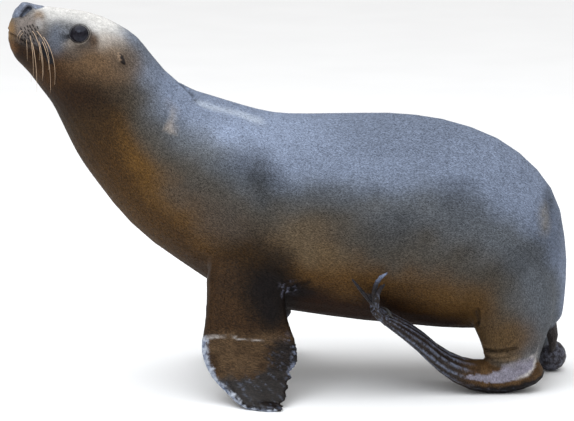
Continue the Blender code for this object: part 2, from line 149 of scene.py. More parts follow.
def curve_through(points, count):
    """Evenly many points on a smooth curve through the given ones."""
    table = np.array(points, float)
    slope = np.gradient(table, axis=0)
    found = []
    for place in np.linspace(0, len(table) - 1, count):
        i = min(int(place), len(table) - 2)
        t = place - i
        found.append((2 * t**3 - 3 * t**2 + 1) * table[i] + (t**3 - 2 * t**2 + t) * slope[i]
                     + (3 * t**2 - 2 * t**3) * table[i + 1] + (t**3 - t**2) * slope[i + 1])
    return np.array(found)


def run_of(line):
    """Length along a line of points up to each of them."""
    return np.concatenate([[0], np.cumsum(np.linalg.norm(np.diff(line, axis=0), axis=1))])


def nearest_of(points, line):
    """For each point, the place in the line of the point nearest to it."""
    near = np.empty(len(points), int)
    for start in range(0, len(points), 20000):
        part = points[start:start + 20000]
        square = (part**2).sum(1)[:, None] - 2 * part @ line.T + (line**2).sum(1)
        near[start:start + 20000] = square.argmin(1)
    return near


def distance_to(points, line):
    """Distance from each point to a line of many close points, and how far along the line it is, 0 to 1."""
    best = np.full(len(points), np.inf)
    place = np.zeros(len(points))
    for i, spot in enumerate(line):
        away = np.linalg.norm(points - spot, axis=1)
        nearer = away < best
        best[nearer] = away[nearer]
        place[nearer] = i / (len(line) - 1)
    return best, place


def laid_on(points, mesh):
    """The points moved to the nearest place on the mesh."""
    tree = BVHTree.FromPolygons(points_of(mesh).tolist(), [p.vertices[:] for p in mesh.polygons])
    return np.array([tree.find_nearest(p)[0][:] for p in points.tolist()])


def picked_on(corners, random, count, chosen):
    """Shares of the corners for random points in the chosen triangles."""
    a, b = random.random((2, count))
    over = a + b > 1
    a[over] = 1 - a[over]
    b[over] = 1 - b[over]
    return corners[chosen], np.stack([1 - a - b, a, b], 1)


def value_noise(points, size, seed):
    """Smooth noise from -1 to 1 with blobs of about the given size."""
    grid = points / size + 1000.0
    cell = np.floor(grid).astype(np.int64)
    part = grid - cell
    part = part * part * (3 - 2 * part)
    total = np.zeros(len(points))
    for corner in range(8):
        step = np.array([corner & 1, corner >> 1 & 1, corner >> 2 & 1])
        key = (cell + step) @ np.array([73856093, 19349663, 83492791]) + seed * 2654435761
        key = (key ^ (key >> 13)) * 1274126177 & 0x7FFFFFFF
        weight = np.prod(np.where(step, part, 1 - part), axis=1)
        total += weight * (((key ^ (key >> 16)) & 0xFFFF) / 32767.5 - 1)
    return total


class Net:
    """The edges of a mesh, for spreading values and smoothing shapes over it."""

    def __init__(self, mesh):
        a, b = get(mesh.edges, "vertices", 2, np.int32).T
        here = np.concatenate([a, b])
        order = np.argsort(here, kind="stable")
        self.near = np.concatenate([b, a])[order]
        self.degree = np.bincount(here, minlength=len(mesh.vertices))
        self.first = np.concatenate([[0], np.cumsum(self.degree)[:-1]])

    def mean(self, values):
        """The mean of each vertex's neighbours."""
        total = np.add.reduceat(np.take(values, self.near, axis=0), self.first, axis=0)
        return total / (self.degree if values.ndim == 1 else self.degree[:, None])

    def spread(self, values, rounds):
        for _ in range(rounds):
            values = 0.5 * values + 0.5 * self.mean(values)
        return values

    def fair(self, points, weight, rounds, steps=(0.5, -0.515)):
        """Takes the facets out of a shape: two steps keep its volume, and one alone fills the creases."""
        for _ in range(rounds):
            for step in steps:
                points = points + step * weight[:, None] * (self.mean(points) - points)
        return points


# ---- frames of the head, the body and the limbs ----

EYE_LEFT, EYE_RIGHT = (sum((np.array(c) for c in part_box(f"eye_{side}")), np.zeros(3)) / 2 for side in SIDES)
HEAD_ORIGIN = (EYE_LEFT + EYE_RIGHT) / 2
TO_LEFT = unit(EYE_LEFT - EYE_RIGHT)
FORWARD = unit(np.cross(TO_LEFT, UP))
EYE_BACK, EYE_UP = 0.0025, 0.0025         # the finished eyes sit this much further back and up in the solids
EYE_LEFT, EYE_RIGHT = (centre - EYE_BACK * FORWARD + EYE_UP * UP for centre in (EYE_LEFT, EYE_RIGHT))


def in_head(points):
    """Forward, to the left and upward from midway between the eyes."""
    away = points - HEAD_ORIGIN
    return np.stack([away @ FORWARD, away @ TO_LEFT, away[:, 2]], 1)


def from_head(places):
    return HEAD_ORIGIN + places[:, :1] * FORWARD + places[:, 1:2] * TO_LEFT + places[:, 2:] * UP


def one_side(points):
    """Places in the head's frame with both sides folded onto one."""
    places = in_head(points)
    places[:, 1] = np.abs(places[:, 1])
    return places


def one_way(points):
    """World places with the right side folded onto the left."""
    return np.stack([points[:, 0], -np.abs(points[:, 1]), points[:, 2]], 1)


def body_axis(count=240):
    """Points along the middle of the body, evenly spaced, with their direction and dorsal direction."""
    rows = np.array(AXIS)
    tree, _ = tree_of(BODY_NODES)
    middle = []
    for x, z in rows:
        sides = [tree.ray_cast(Vector((x, y, z)), Vector((0, -y, 0)))[0] for y in (-0.5, 0.5)]
        sides = [s.y for s in sides if s is not None]
        middle.append(sum(sides) / len(sides) if sides else HEAD_ORIGIN[1])
    path = np.stack([rows[:, 0], middle, rows[:, 1]], 1)
    for _ in range(4):
        inner = np.repeat(path, 2, 0)[1:-1]
        inner[0::2] = 0.75 * path[:-1] + 0.25 * path[1:]
        inner[1::2] = 0.25 * path[:-1] + 0.75 * path[1:]
        path = np.concatenate([path[:1], inner, path[-1:]])
    run = run_of(path)
    even = np.linspace(0, run[-1], count)
    path = np.stack([np.interp(even, run, path[:, k]) for k in range(3)], 1)
    along = unit(np.gradient(path, axis=0))
    side = unit(np.cross(along, UP))
    return path, along, unit(np.cross(side, along)), side, even


AXIS_POINTS, AXIS_ALONG, AXIS_UP, AXIS_SIDE, AXIS_RUN = body_axis()


def in_body(points):
    """Length along the body's middle line, dorsal and sideways distance from it, and its direction."""
    near = nearest_of(points, AXIS_POINTS)
    away = points - AXIS_POINTS[near]
    run = AXIS_RUN[near] + (away * AXIS_ALONG[near]).sum(1)
    return run, (away * AXIS_UP[near]).sum(1), (away * AXIS_SIDE[near]).sum(1), AXIS_ALONG[near]


class Limb:
    """A limb's middle line and width axis, for places on it as run, across and over."""

    def __init__(self, nodes, way, across, slices):
        self.nodes = nodes
        points = triangles_of(nodes)[0]
        order = np.argsort(points @ np.array(way, float))
        stops = [points[part].mean(0) for part in np.array_split(order, slices)]
        self.line = curve_through(stops, 90)
        self.along = unit(np.gradient(self.line, axis=0))
        across = np.array(across, float)
        self.across = unit(across - (self.along @ across)[:, None] * self.along)
        self.over = np.cross(self.along, self.across)
        self.over *= np.sign(self.over[:, 2:].sum())
        self.run = run_of(self.line)
        self.start = self.chart(triangles_of(nodes[-1:])[0])[0].min()
        self.end = self.chart(points)[0].max()

    def chart(self, points):
        """Run along the line, distances across and over it, and the line's direction."""
        near = nearest_of(points, self.line)
        away = points - self.line[near]
        run = self.run[near] + (away * self.along[near]).sum(1)
        return run, (away * self.across[near]).sum(1), (away * self.over[near]).sum(1), self.along[near]


LIMBS = {
    "fore_left": Limb((UPPER_LIMBS[0], HANDS[0]), (0, -0.6, -0.8), (1, 0, 0), 16),
    "fore_right": Limb((UPPER_LIMBS[1], HANDS[1]), (0, 0.6, -0.8), (0.96, 0.28, 0), 16),
    "leg_left": Limb(("hind_leg_left",), (0, 0, -1), (0, -1, 0), 6),
    "leg_right": Limb(("hind_leg_right",), (0, 0, -1), (1, 0, 0), 6),
    "foot_left": Limb(("hind_flipper_left",), (-1, 0, 0.3), (0, -1, -0.15), 14),
    "foot_right": Limb(("hind_flipper_right",), (0, 1, 0), (-1, 0, 0), 12),
    "tail": Limb(("tail",), (0, 0, -1), (0, 1, 0), 4),
}


class Hand:
    """A fore flipper's hand seen square on: down from its top and back from its leading edge."""

    def __init__(self, name, back):
        points, faces, _ = triangles_of([name])
        corners = points[faces]
        area = np.linalg.norm(np.cross(corners[:, 1] - corners[:, 0], corners[:, 2] - corners[:, 0]), axis=1)
        random = np.random.default_rng(5)
        chosen = random.choice(len(faces), 40000, p=area / area.sum())
        corners, shares = picked_on(corners, random, 40000, chosen)
        spots = (corners * shares[:, :, None]).sum(1)
        self.back = np.array(back)
        self.top = spots[spots[:, 2] > spots[:, 2].max() - 0.015].mean(0)
        way = spots[spots[:, 2] < spots[:, 2].min() + 0.02].mean(0) - self.top
        self.down = unit(way - (way @ self.back) * self.back)
        self.over = np.cross(self.down, self.back)
        self.over *= np.sign(self.over[2])
        below, out, _ = self.chart(spots)
        self.steps = np.linspace(below.min() + 0.004, below.max() - 0.004, 30)
        rows = [out[np.abs(below - step) < 0.006] for step in self.steps]
        self.low = np.array([row.min() for row in rows])
        self.high = np.array([row.max() for row in rows])
        self.leading = self.rim(spots, -62, 122)
        self.trailing = self.rim(spots, 122, 232)

    def chart(self, points):
        away = points - self.top
        return away @ self.down, away @ self.back, away @ self.over

    def rim(self, spots, first, last):
        """The edge between two directions, in degrees from the front downwards round the hand's middle."""
        below, out, _ = self.chart(spots)
        below = below - (self.steps[0] + self.steps[-1]) / 2
        out = out - (self.low.min() + self.high.max()) / 2
        angle = (np.degrees(np.arctan2(below, -out)) + 90) % 360 - 90
        far = np.hypot(below, out)
        found = []
        for turn in np.arange(first, last, 6):
            near = np.nonzero(np.abs(angle - turn) < 4)[0]
            found.append(spots[near[far[near].argmax()]])
        return curve_through(found, 10 * len(found))

    def places(self, points):
        """Distance below the top, share of the chord from front to back, direction from the wrist, height."""
        below, out, over = self.chart(points)
        low, high = (np.interp(below, self.steps, edge) for edge in (self.low, self.high))
        chord = np.clip((out - low) / (high - low), 0, 1)
        return below, chord, np.arctan2(out - self.low.min() - 0.005, below + 0.035), over


HAND_FRAMES = {"left": Hand(HANDS[0], (1.0, 0.0, 0.0)), "right": Hand(HANDS[1], (0.96, 0.28, 0.0))}


# ---- form of the skin ----

def flesh_mesh():
    """The flesh and the eyeballs as one closed mesh of small even faces."""
    points, faces, _ = triangles_of(FLESH + ["eye_left", "eye_right"])
    mesh = bpy.data.meshes.new("flesh")
    mesh.from_pydata(points.tolist(), [], faces.tolist())
    obj = new_object("flesh", mesh)
    step = obj.modifiers.new("Even faces", "REMESH")
    step.mode = "VOXEL"
    step.voxel_size = VOXEL
    step.adaptivity = 0.0
    return with_modifiers(obj)


def nearest_node(points):
    """For each point, the place in FLESH of the node whose surface is nearest."""
    tree, owner = tree_of(FLESH)
    return owner[[tree.find_nearest(p)[2] for p in points.tolist()]]


def share_of(owner, names):
    return np.isin(owner, [FLESH.index(name) for name in names]).astype(float)


def smooth_form(mesh):
    """Takes the facets out of the solids' shape and rounds the inner corners where limbs join the trunk."""
    net = Net(mesh)
    points = points_of(mesh)
    owner = nearest_node(points)
    thin = net.spread(share_of(owner, HANDS + FEET), 12)
    limbs = net.spread(share_of(owner, HANDS + FEET + UPPER_LIMBS + ("tail",)), 14)
    ears = net.spread(share_of(owner, EARS), 2)
    points = net.fair(points, 1 - 0.93 * np.maximum(thin, ears), 70)
    points = net.fair(points, np.clip(1.6 * (4 * limbs * (1 - limbs)), 0, 1), 70, (0.5,))
    move_points(mesh, points)
    furred = net.spread(np.clip(1 - thin - ears, 0, 1), 10)
    move_points(mesh, points - COAT_DEPTH * furred[:, None] * normals_of(mesh))
    return owner


def thinned(mesh, density):
    """Collapses faces where density is below 1, to about that share of them."""
    obj = new_object("thinned", mesh)
    group = obj.vertex_groups.new(name="collapse")
    levels = np.unique(density)
    for level in levels[levels < 1]:
        group.add(np.nonzero(density == level)[0].tolist(), float(1 - level), "REPLACE")
    step = obj.modifiers.new("Fewer faces", "DECIMATE")
    step.ratio = float(density.mean())
    step.vertex_group = "collapse"
    return with_modifiers(obj)


def refined(mesh, zone, rounds=1):
    """Splits each face that touches the zone into four."""
    work = bmesh.new()
    work.from_mesh(mesh)
    for _ in range(rounds):
        inside = zone(np.array([v.co[:] for v in work.verts]))
        edges = [e for e in work.edges if inside[e.verts[0].index] or inside[e.verts[1].index]]
        bmesh.ops.subdivide_edges(work, edges=edges, cuts=1, use_grid_fill=True)
        bmesh.ops.triangulate(work, faces=[f for f in work.faces if len(f.verts) > 3])
        work.verts.index_update()
    work.to_mesh(mesh)
    work.free()


def base_form():
    """The skin before its folds are made: fine on the face and the flippers, coarse on the trunk."""
    mesh = flesh_mesh()
    owner = smooth_form(mesh)
    points = points_of(mesh)
    forward, _, upward = in_head(points).T
    density = np.full(len(points), 0.095)
    density[share_of(owner, HANDS + FEET) > 0.5] = 0.32
    density[(forward > -0.09) & (upward > -0.25)] = 0.30
    density[(forward > -0.03) & (upward > -0.12)] = 0.60
    return thinned(mesh, density)


# ---- folds of the head ----

EYE_OPENING_WIDE, EYE_OPENING_HIGH = math.radians(57), math.radians(50)   # half angles seen from its centre
EYE_LOOKS = unit(np.array((0.3, 0.9, 0.25)))            # forward, outward and up
EYE_PLACE = one_side(EYE_LEFT[None])[0]
LID_THICKNESS = 0.0011

# Forward, outward and up, in the head's frame.
NOSE_PAD = [((0.093, 0, 0.051), (0.034, 0.019, 0.022)), ((0.105, 0, 0.046), (0.021, 0.031, 0.017))]
NOSTRIL = [(0.087, 0.018, 0.0495), (0.0935, 0.0235, 0.0455), (0.0985, 0.0268, 0.0405), (0.102, 0.0275, 0.0365)]
MOUTH = [(0.126, 0, 0.0085), (0.124, 0.015, 0.0065), (0.119, 0.0285, 0.004), (0.1123, 0.0387, 0.0014),
         (0.1029, 0.0422, -0.0045), (0.0888, 0.0427, -0.0119), (0.0747, 0.0445, -0.0192),
         (0.0643, 0.0469, -0.0227), (0.0577, 0.0509, -0.0332), (0.051, 0.0543, -0.0455),
         (0.0485, 0.0554, -0.0508)]
MOUTH_CORNER = [(0.068, 0.045, -0.0215), (0.06, 0.05, -0.03), (0.0535, 0.0535, -0.043)]
PHILTRUM = [(0.129, 0, 0.032), (0.13, 0, 0.02), (0.127, 0, 0.009)]
FACE_LINES = (NOSTRIL, MOUTH, PHILTRUM)
WHISKER_PAD = np.array([0.089, 0.04, 0.017])
FOLLICLE_ROWS, FOLLICLES, ROW_STEP, FOLLICLE_STEP = 5, 6, 0.0068, 0.0056
FOLLICLE_LIE = np.array([-0.42, -0.91])             # backward and down, the way their shadows lie


def nose_pad(places):
    """How far a place is from the middle of the nose pad, 1 at its edge."""
    return np.min([np.linalg.norm((places - np.array(centre)) / radii, axis=1)
                   for centre, radii in NOSE_PAD], axis=0)


def nostril_at(places, line):
    """Distance from the nostril's line, narrower towards its outer end."""
    away, along = distance_to(places, line)
    return away / (1.45 - 0.65 * along)


def eye_angles(places):
    """Distance from the eye's centre, degrees beyond the lid's edge, and direction round the opening."""
    ahead = unit(np.array([1.0, 0, 0]) - EYE_LOOKS[0] * EYE_LOOKS)
    above = np.cross(ahead, EYE_LOOKS)
    above = above * np.sign(above[2])
    away = places - EYE_PLACE
    reach = np.linalg.norm(away, axis=1)
    angle = np.arccos(np.clip(away @ EYE_LOOKS / np.maximum(reach, 1e-9), -1, 1))
    turn = np.arctan2(away @ above, away @ ahead)
    wide, high = EYE_OPENING_WIDE, EYE_OPENING_HIGH
    edge = wide * high / np.hypot(high * np.cos(turn), wide * np.sin(turn))
    edge += math.radians(6) * bell(turn + 0.15, 0.28)
    return reach, np.degrees(angle - edge), turn, angle


def with_lids(places):
    """Places near the eye moved into lids that hug the eyeball, with the opening sunk under it."""
    reach, beyond, turn, angle = eye_angles(places)
    lid = EYE_RADIUS + LID_THICKNESS + 0.0004 * np.sin(turn)
    lid = lid + 0.0006 * ease(2, 9, beyond) - 0.0008 * bell(beyond - 14, 3)
    hidden = EYE_RADIUS - 0.003
    target = hidden + (lid - hidden) * ease(-4, 0.5, beyond)
    free = ease(9, 34, beyond)
    near = (reach < 0.045) & (angle < 2.2)
    new_reach = np.where(near, target + (np.maximum(reach, target) - target) * free, reach)
    return EYE_PLACE + (places - EYE_PLACE) * (new_reach / np.maximum(reach, 1e-9))[:, None]


def face_relief(places, nostril, mouth, philtrum):
    """Height of the muzzle's pads, nostrils, mouth and folds over the smooth head."""
    pad = nose_pad(places)
    above = np.interp(places[:, 0], mouth[::-1, 0], mouth[::-1, 2])
    upper = ease(-0.001, 0.003, places[:, 2] - above)
    height = 0.0009 * ease(1.06, 0.9, pad) - 0.0006 * bell(pad - 1.1, 0.07)
    wide = nostril_at(places, nostril)
    height += 0.0012 * bell(wide - 0.0052, 0.0018) - 0.007 * ease(0.0036, 0.0016, wide)
    away, along = distance_to(places, mouth)
    lips = 0.55 + 0.45 * ease(0.9, 0.4, along)
    height += lips * (0.001 * bell(away - 0.0042, 0.0024) * (0.5 + upper) - 0.0026 * bell(away, 0.0011))
    height -= 0.0014 * bell(distance_to(places, philtrum)[0], 0.0014)
    return height + 0.0016 * bell(np.linalg.norm(places - WHISKER_PAD, axis=1), 0.0165)


def eye_zone(points, low, high):
    reach, beyond, _, _ = eye_angles(one_side(points))
    return (reach < 0.034) & (beyond > low) & (beyond < high)


def face_zone(points, reach):
    lines = np.concatenate([curve_through(line, 30) for line in FACE_LINES])
    return distance_to(one_side(points), lines)[0] < reach


def pad_zone(points, reach):
    return np.linalg.norm(one_side(points) - WHISKER_PAD + (0.004, 0, 0.009), axis=1) < reach


def sculpt_head(mesh):
    refined(mesh, lambda p: eye_zone(p, -16, 30) | face_zone(p, 0.0075) | (nose_pad(one_side(p)) < 1.2)
            | pad_zone(p, 0.028))
    refined(mesh, lambda p: eye_zone(p, -7, 17) | face_zone(p, 0.0042) | pad_zone(p, 0.025))
    points = points_of(mesh)
    forward, _, upward = in_head(points).T
    points = Net(mesh).fair(points, 0.9 * ease(-0.06, -0.02, forward) * ease(-0.12, -0.08, upward), 12)
    move_points(mesh, points)
    lines = [one_side(laid_on(from_head(curve_through(line, 60)), mesh)) for line in FACE_LINES]
    head = in_head(points)[:, 0] > -0.08
    height = np.where(head, face_relief(one_side(points), *lines), 0.0)
    points = points + height[:, None] * normals_of(mesh)
    places = with_lids(one_side(points))
    places[:, 1] *= np.where(in_head(points)[:, 1] < 0, -1, 1)
    move_points(mesh, np.where(head[:, None], from_head(places), points))


# ---- folds of the body and the limbs ----

# Creases: points of a line in the world, for the left side, its half width and depth. The skin is also
# darkened along them with painted shade.
CREASES = [
    ([(-0.172, -0.076, 0.52), (-0.181, -0.058, 0.534), (-0.193, -0.046, 0.544), (-0.204, -0.038, 0.552),
      (-0.213, -0.034, 0.558)], 0.0075, 0.0048),
    ([(-0.012, -0.15, 0.19), (0.01, -0.16, 0.205), (0.036, -0.17, 0.216)], 0.006, 0.0045),
    ([(0.336, -0.118, 0.122), (0.338, -0.136, 0.132), (0.334, -0.144, 0.147), (0.33, -0.15, 0.16)],
     0.007, 0.005),
    ([(0.346, -0.118, 0.08), (0.356, -0.138, 0.079), (0.384, -0.156, 0.083), (0.414, -0.159, 0.091)],
     0.0066, 0.006),
    ([(0.346, -0.118, 0.064), (0.356, -0.136, 0.064), (0.38, -0.154, 0.068), (0.4, -0.157, 0.074)],
     0.0036, 0.0032),
]
WET_SHEEN_PLACE = np.array([-0.008, -0.155, 0.196])       # the streaks of wet fur behind the fore flipper, pale blue-grey with painted sheen of the sky
WRIST_LINE, WRIST_SLOPE = -0.001, 0.015            # of the pale fold across the wrist
HAND_RAYS = (0.42, 0.6, 0.8, 1.02, 1.26)           # directions of the five fingers, fanning from the wrist
FOOT_RIDGE_STEP = math.radians(34)                 # between ridges round the foot's section


def foot_places(points, limb):
    """Distance from the heel, angle round the section from its outer edge upwards, and the toes' ridges."""
    run, out, over, _ = limb.chart(points)
    angle = np.arctan2(over * 1.6, out)
    return run - limb.start, angle, np.cos(2 * math.pi * angle / FOOT_RIDGE_STEP)


def wrist_fold(below, chord):
    return below - WRIST_LINE - WRIST_SLOPE * chord


def hand_relief(points, hand):
    below, chord, fan, over = hand.places(points)
    rays = sum(bell(fan - ray, 0.055) for ray in HAND_RAYS)
    skin = value_noise(points, 0.004, 21) + 0.6 * value_noise(points, 0.002, 22)
    wrist = bell(wrist_fold(below, chord), 0.0022) * ease(0.68, 0.55, chord)
    grain = 0.0003 * ease(0.045, 0.075, below) * skin
    return ease(0, 0.03, below) * 0.0013 * (rays - 0.5) * (over > 0) + grain + 0.0011 * wrist


def foot_relief(points, limb):
    along, _, ridges = foot_places(points, limb)
    reach = ease(0.1, 0.17, along) * ease(limb.run[-1] - 0.05, limb.run[-1] - 0.1, along)
    wrinkle = value_noise(points * np.array([1, 2.2, 2.2]), 0.012, 23)
    return 0.0012 * reach * ridges + 0.0005 * wrinkle * ease(0.2, 0.02, along)


def limb_shares(mesh):
    """How much each vertex belongs to each limb, to the ears and to each hand, with soft borders."""
    owner = nearest_node(points_of(mesh))
    net = Net(mesh)
    shares = {name: net.spread(share_of(owner, limb.nodes), 4) for name, limb in LIMBS.items()}
    shares["ears"] = net.spread(share_of(owner, EARS), 1)
    for side, name in zip(SIDES, HANDS):
        shares[f"hand_{side}"] = net.spread(share_of(owner, (name,)), 3)
    return shares


def creases_on(mesh):
    """The creases as lines of close points on the skin, with their half width and depth."""
    return [(one_way(laid_on(curve_through(line, 40), mesh)), wide, deep) for line, wide, deep in CREASES]


def sculpt_body(mesh):
    creases = creases_on(mesh)

    def crease_zone(points):
        near = one_way(points)
        wet_sheen = np.linalg.norm(points - WET_SHEEN_PLACE, axis=1) < 0.02
        return wet_sheen | (np.min([distance_to(near, line)[0] / wide for line, wide, _ in creases], axis=0) < 2)

    refined(mesh, crease_zone, 2)
    shares = limb_shares(mesh)
    points = points_of(mesh)
    height = np.zeros(len(points))
    for line, wide, deep in creases:
        away, along = distance_to(one_way(points), line)
        ends = ease(0, 0.25, along) * ease(1, 0.75, along)
        height -= ends * deep * (bell(away, 0.45 * wide) - 0.45 * bell(away - wide, 0.5 * wide))
    for side in SIDES:
        height += shares[f"hand_{side}"] * hand_relief(points, HAND_FRAMES[side])
        height += shares[f"foot_{side}"] * foot_relief(points, LIMBS[f"foot_{side}"])
    points = points + height[:, None] * normals_of(mesh)
    points[:, 2] = np.maximum(points[:, 2], 0.0)
    move_points(mesh, points)
    return shares


# ---- markings: one function of place that colours skin and coat alike ----

SURFACE_SHARE = 0.62      # colours are given as they look in soft daylight; the surface is darker


def rgb(red, green, blue):
    """The surface colour that looks like this, from 0 to 255, in the light of the scene."""
    share = np.array([red, green, blue]) / 255
    return SURFACE_SHARE * np.where(share > 0.04045, ((share + 0.055) / 1.055) ** 2.4, share / 12.92)


# The back's pale blue-grey is partly the coat's own colour and partly painted sheen of the sky; the belly's
# dark brown is partly painted shade.
BACK_AND_SHEEN, FLANK, SIDE = rgb(136, 148, 171), rgb(103, 108, 115), rgb(86, 81, 74)
LOW_SIDE, BELLY_AND_SHADE, THROAT = rgb(98, 69, 32), rgb(46, 25, 4), rgb(50, 36, 20)
NAPE, NECK, NECK_SIDE = rgb(110, 114, 121), rgb(88, 84, 80), rgb(66, 56, 44)
CHEST, CROWN_AND_SHEEN, CHEEK = rgb(112, 80, 36), rgb(248, 245, 240), rgb(118, 92, 66)
SLATE, DARK_BROWN, WORN_AND_SHEEN, MAUVE = rgb(108, 115, 128), rgb(48, 29, 11), rgb(208, 216, 232), rgb(166, 162, 178)

# Soft patches of the head: forward, outward and up of the middle, its three reaches, colour, strength.
HEAD_PATCHES = [
    ((-0.115, 0.03, 0.025), (0.05, 0.05, 0.04), BACK_AND_SHEEN, 0.8),
    # The near-white crown is partly pale fur and partly painted sheen on the top of the head.
    ((0.02, 0, 0.05), (0.07, 0.046, 0.04), CROWN_AND_SHEEN, 1),
    ((-0.045, 0.02, 0.03), (0.04, 0.05, 0.04), CROWN_AND_SHEEN, 1),
    ((-0.046, 0.055, -0.012), (0.018, 0.022, 0.022), rgb(216, 206, 194), 0.85),
    ((-0.066, 0.052, -0.014), (0.02, 0.026, 0.018), rgb(206, 196, 186), 0.8),
    ((-0.06, 0.062, -0.028), (0.014, 0.02, 0.01), rgb(196, 178, 158), 0.7),
    ((0, 0.066, -0.048), (0.055, 0.034, 0.032), CHEEK, 0.9),
    ((-0.055, 0.066, -0.05), (0.04, 0.034, 0.034), CHEEK, 0.85),
    ((-0.085, 0.06, -0.04), (0.03, 0.034, 0.03), rgb(104, 90, 76), 0.7),
    ((-0.024, 0.058, -0.004), (0.011, 0.016, 0.017), rgb(84, 62, 42), 0.95),
    ((0.036, 0.048, 0.01), (0.024, 0.02, 0.022), SLATE, 0.95),
    ((0.044, 0.052, -0.014), (0.02, 0.018, 0.02), SLATE, 0.9),
    ((0.016, 0.06, -0.028), (0.02, 0.016, 0.014), rgb(86, 76, 68), 0.8),
    ((0.092, 0.038, 0.018), (0.026, 0.024, 0.026), rgb(138, 128, 122), 1),
    ((0.07, 0.03, 0.04), (0.01, 0.014, 0.012), rgb(138, 112, 84), 0.85),
    ((0.071, 0.036, 0.024), (0.006, 0.012, 0.012), rgb(196, 192, 190), 0.7),
    ((0.124, 0.014, 0.01), (0.012, 0.03, 0.018), rgb(158, 124, 84), 1),
    ((0.02, 0.045, -0.1), (0.07, 0.06, 0.036), DARK_BROWN, 0.9),
    ((0.07, 0.03, -0.06), (0.06, 0.05, 0.036), rgb(68, 44, 20), 1),
    ((0.1, 0.036, -0.034), (0.036, 0.04, 0.026), DARK_BROWN, 1),
    ((0.122, 0.012, -0.02), (0.012, 0.024, 0.012), rgb(120, 82, 44), 0.8),
    ((0.083, 0.042, -0.001), (0.017, 0.022, 0.014), rgb(118, 110, 106), 0.9),
    ((0.07, 0.046, -0.01), (0.012, 0.016, 0.009), rgb(92, 92, 98), 0.8),
]

# Marks of the trunk and neck seen from the side: x and z, their reaches, how dark or light they make it. They
# are partly the coat's own mottles and partly painted light and shade: lighter along the tops of the
# shoulders, darker above the fore flipper and along the rump's rear outline.
BODY_SHADES = [
    (-0.08, 0.425, 0.042, 0.03, 0.66), (-0.125, 0.405, 0.035, 0.03, 0.9), (-0.045, 0.39, 0.034, 0.03, 0.6),
    (-0.085, 0.275, 0.05, 0.034, 0.36), (-0.02, 0.47, 0.11, 0.036, 1.3), (-0.15, 0.47, 0.05, 0.036, 1.22),
    (0.12, 0.42, 0.06, 0.03, 1.06), (0.185, 0.318, 0.06, 0.024, 0.74), (0.15, 0.38, 0.012, 0.01, 0.75),
    (0.19, 0.335, 0.01, 0.008, 0.7), (0.29, 0.38, 0.04, 0.022, 0.74), (0.31, 0.27, 0.02, 0.014, 0.8),
    (0.205, 0.19, 0.046, 0.026, 0.76), (0.37, 0.215, 0.034, 0.028, 0.84), (0.466, 0.346, 0.012, 0.02, 0.5),
    (0.17, 0.475, 0.17, 0.04, 0.82), (0.462, 0.29, 0.03, 0.05, 0.64), (-0.06, 0.34, 0.02, 0.05, 0.8),
    (0.412, 0.25, 0.03, 0.034, 0.7), (0.06, 0.37, 0.06, 0.026, 0.82), (0.31, 0.345, 0.05, 0.026, 0.82),
    (-0.06, 0.42, 0.03, 0.024, 0.8), (0.16, 0.285, 0.05, 0.022, 0.8), (0.452, 0.365, 0.02, 0.024, 1.1),
]
BODY_TINTS = [
    ((0.385, 0.0745), (0.026, 0.006), rgb(176, 150, 118), 0.6),
    ((-0.215, 0.505), (0.005, 0.018), rgb(178, 168, 160), 0.4),
    ((-0.22, 0.488), (0.006, 0.01), rgb(190, 176, 164), 0.6),
    ((0.454, 0.317), (0.01, 0.024), rgb(150, 140, 122), 0.5),
    ((-0.19, 0.37), (0.045, 0.032), rgb(84, 80, 76), 0.6),
    ((-0.13, 0.325), (0.048, 0.036), rgb(80, 76, 73), 0.65),
    ((0.015, 0.295), (0.046, 0.04), rgb(120, 98, 68), 0.5),
    ((0.06, 0.26), (0.044, 0.024), rgb(118, 98, 70), 0.5),
    # Painted shade in the armpit round the top of the fore flipper: this row and the last three rows.
    ((-0.03, 0.255), (0.03, 0.03), rgb(28, 18, 9), 0.8),
    ((0.39, 0.108), (0.05, 0.036), rgb(100, 74, 38), 0.85),
    ((0.34, 0.15), (0.03, 0.04), rgb(84, 60, 28), 0.6),
    ((0.3, 0.185), (0.05, 0.026), rgb(108, 80, 42), 0.45),
    ((-0.044, 0.208), (0.052, 0.044), rgb(16, 10, 6), 0.97),
    ((-0.036, 0.16), (0.036, 0.036), rgb(16, 10, 6), 0.97),
    ((0.015, 0.195), (0.024, 0.016), rgb(18, 11, 6), 0.92),
]
WET_SHEEN_LIE = np.array([[0.15, 0.87], [0.261, -0.5]])       # turns and stretches the grain into the wet streaks of painted sheen
STREAK = [(-0.186, 0.53), (-0.15, 0.517), (-0.114, 0.507), (-0.075, 0.495), (-0.041, 0.485)]

# The bare crescent on the near foot's outer side, whose pale colour and lighter rim are partly painted sheen
# of the sky on wet skin, heel last: points of its middle and half its width there.
CRESCENT = [(0.317, -0.162, 0.036), (0.352, -0.159, 0.033), (0.378, -0.157, 0.036), (0.4, -0.154, 0.043),
            (0.42, -0.151, 0.052), (0.434, -0.145, 0.061)]
CRESCENT_WIDTHS = (0.003, 0.0075, 0.012, 0.015, 0.0155, 0.0105)
TOE_TIP_HIGHLIGHTS = [(0.16, -0.207, 0.24), (0.146, -0.203, 0.236)]     # the raised toes that end in a broad flap, with a painted pale blue highlight on it


def painted(colours, *layers):
    """Colours with others laid over them in turn, each by its share at every place."""
    for share, colour in layers:
        colours = colours + share[:, None] * (colour - colours)
    return colours


def soft_patch(places, centre, reaches):
    square = (((places - np.array(centre)) / reaches) ** 2).sum(1)
    return np.exp(-0.7 * square ** 1.6)


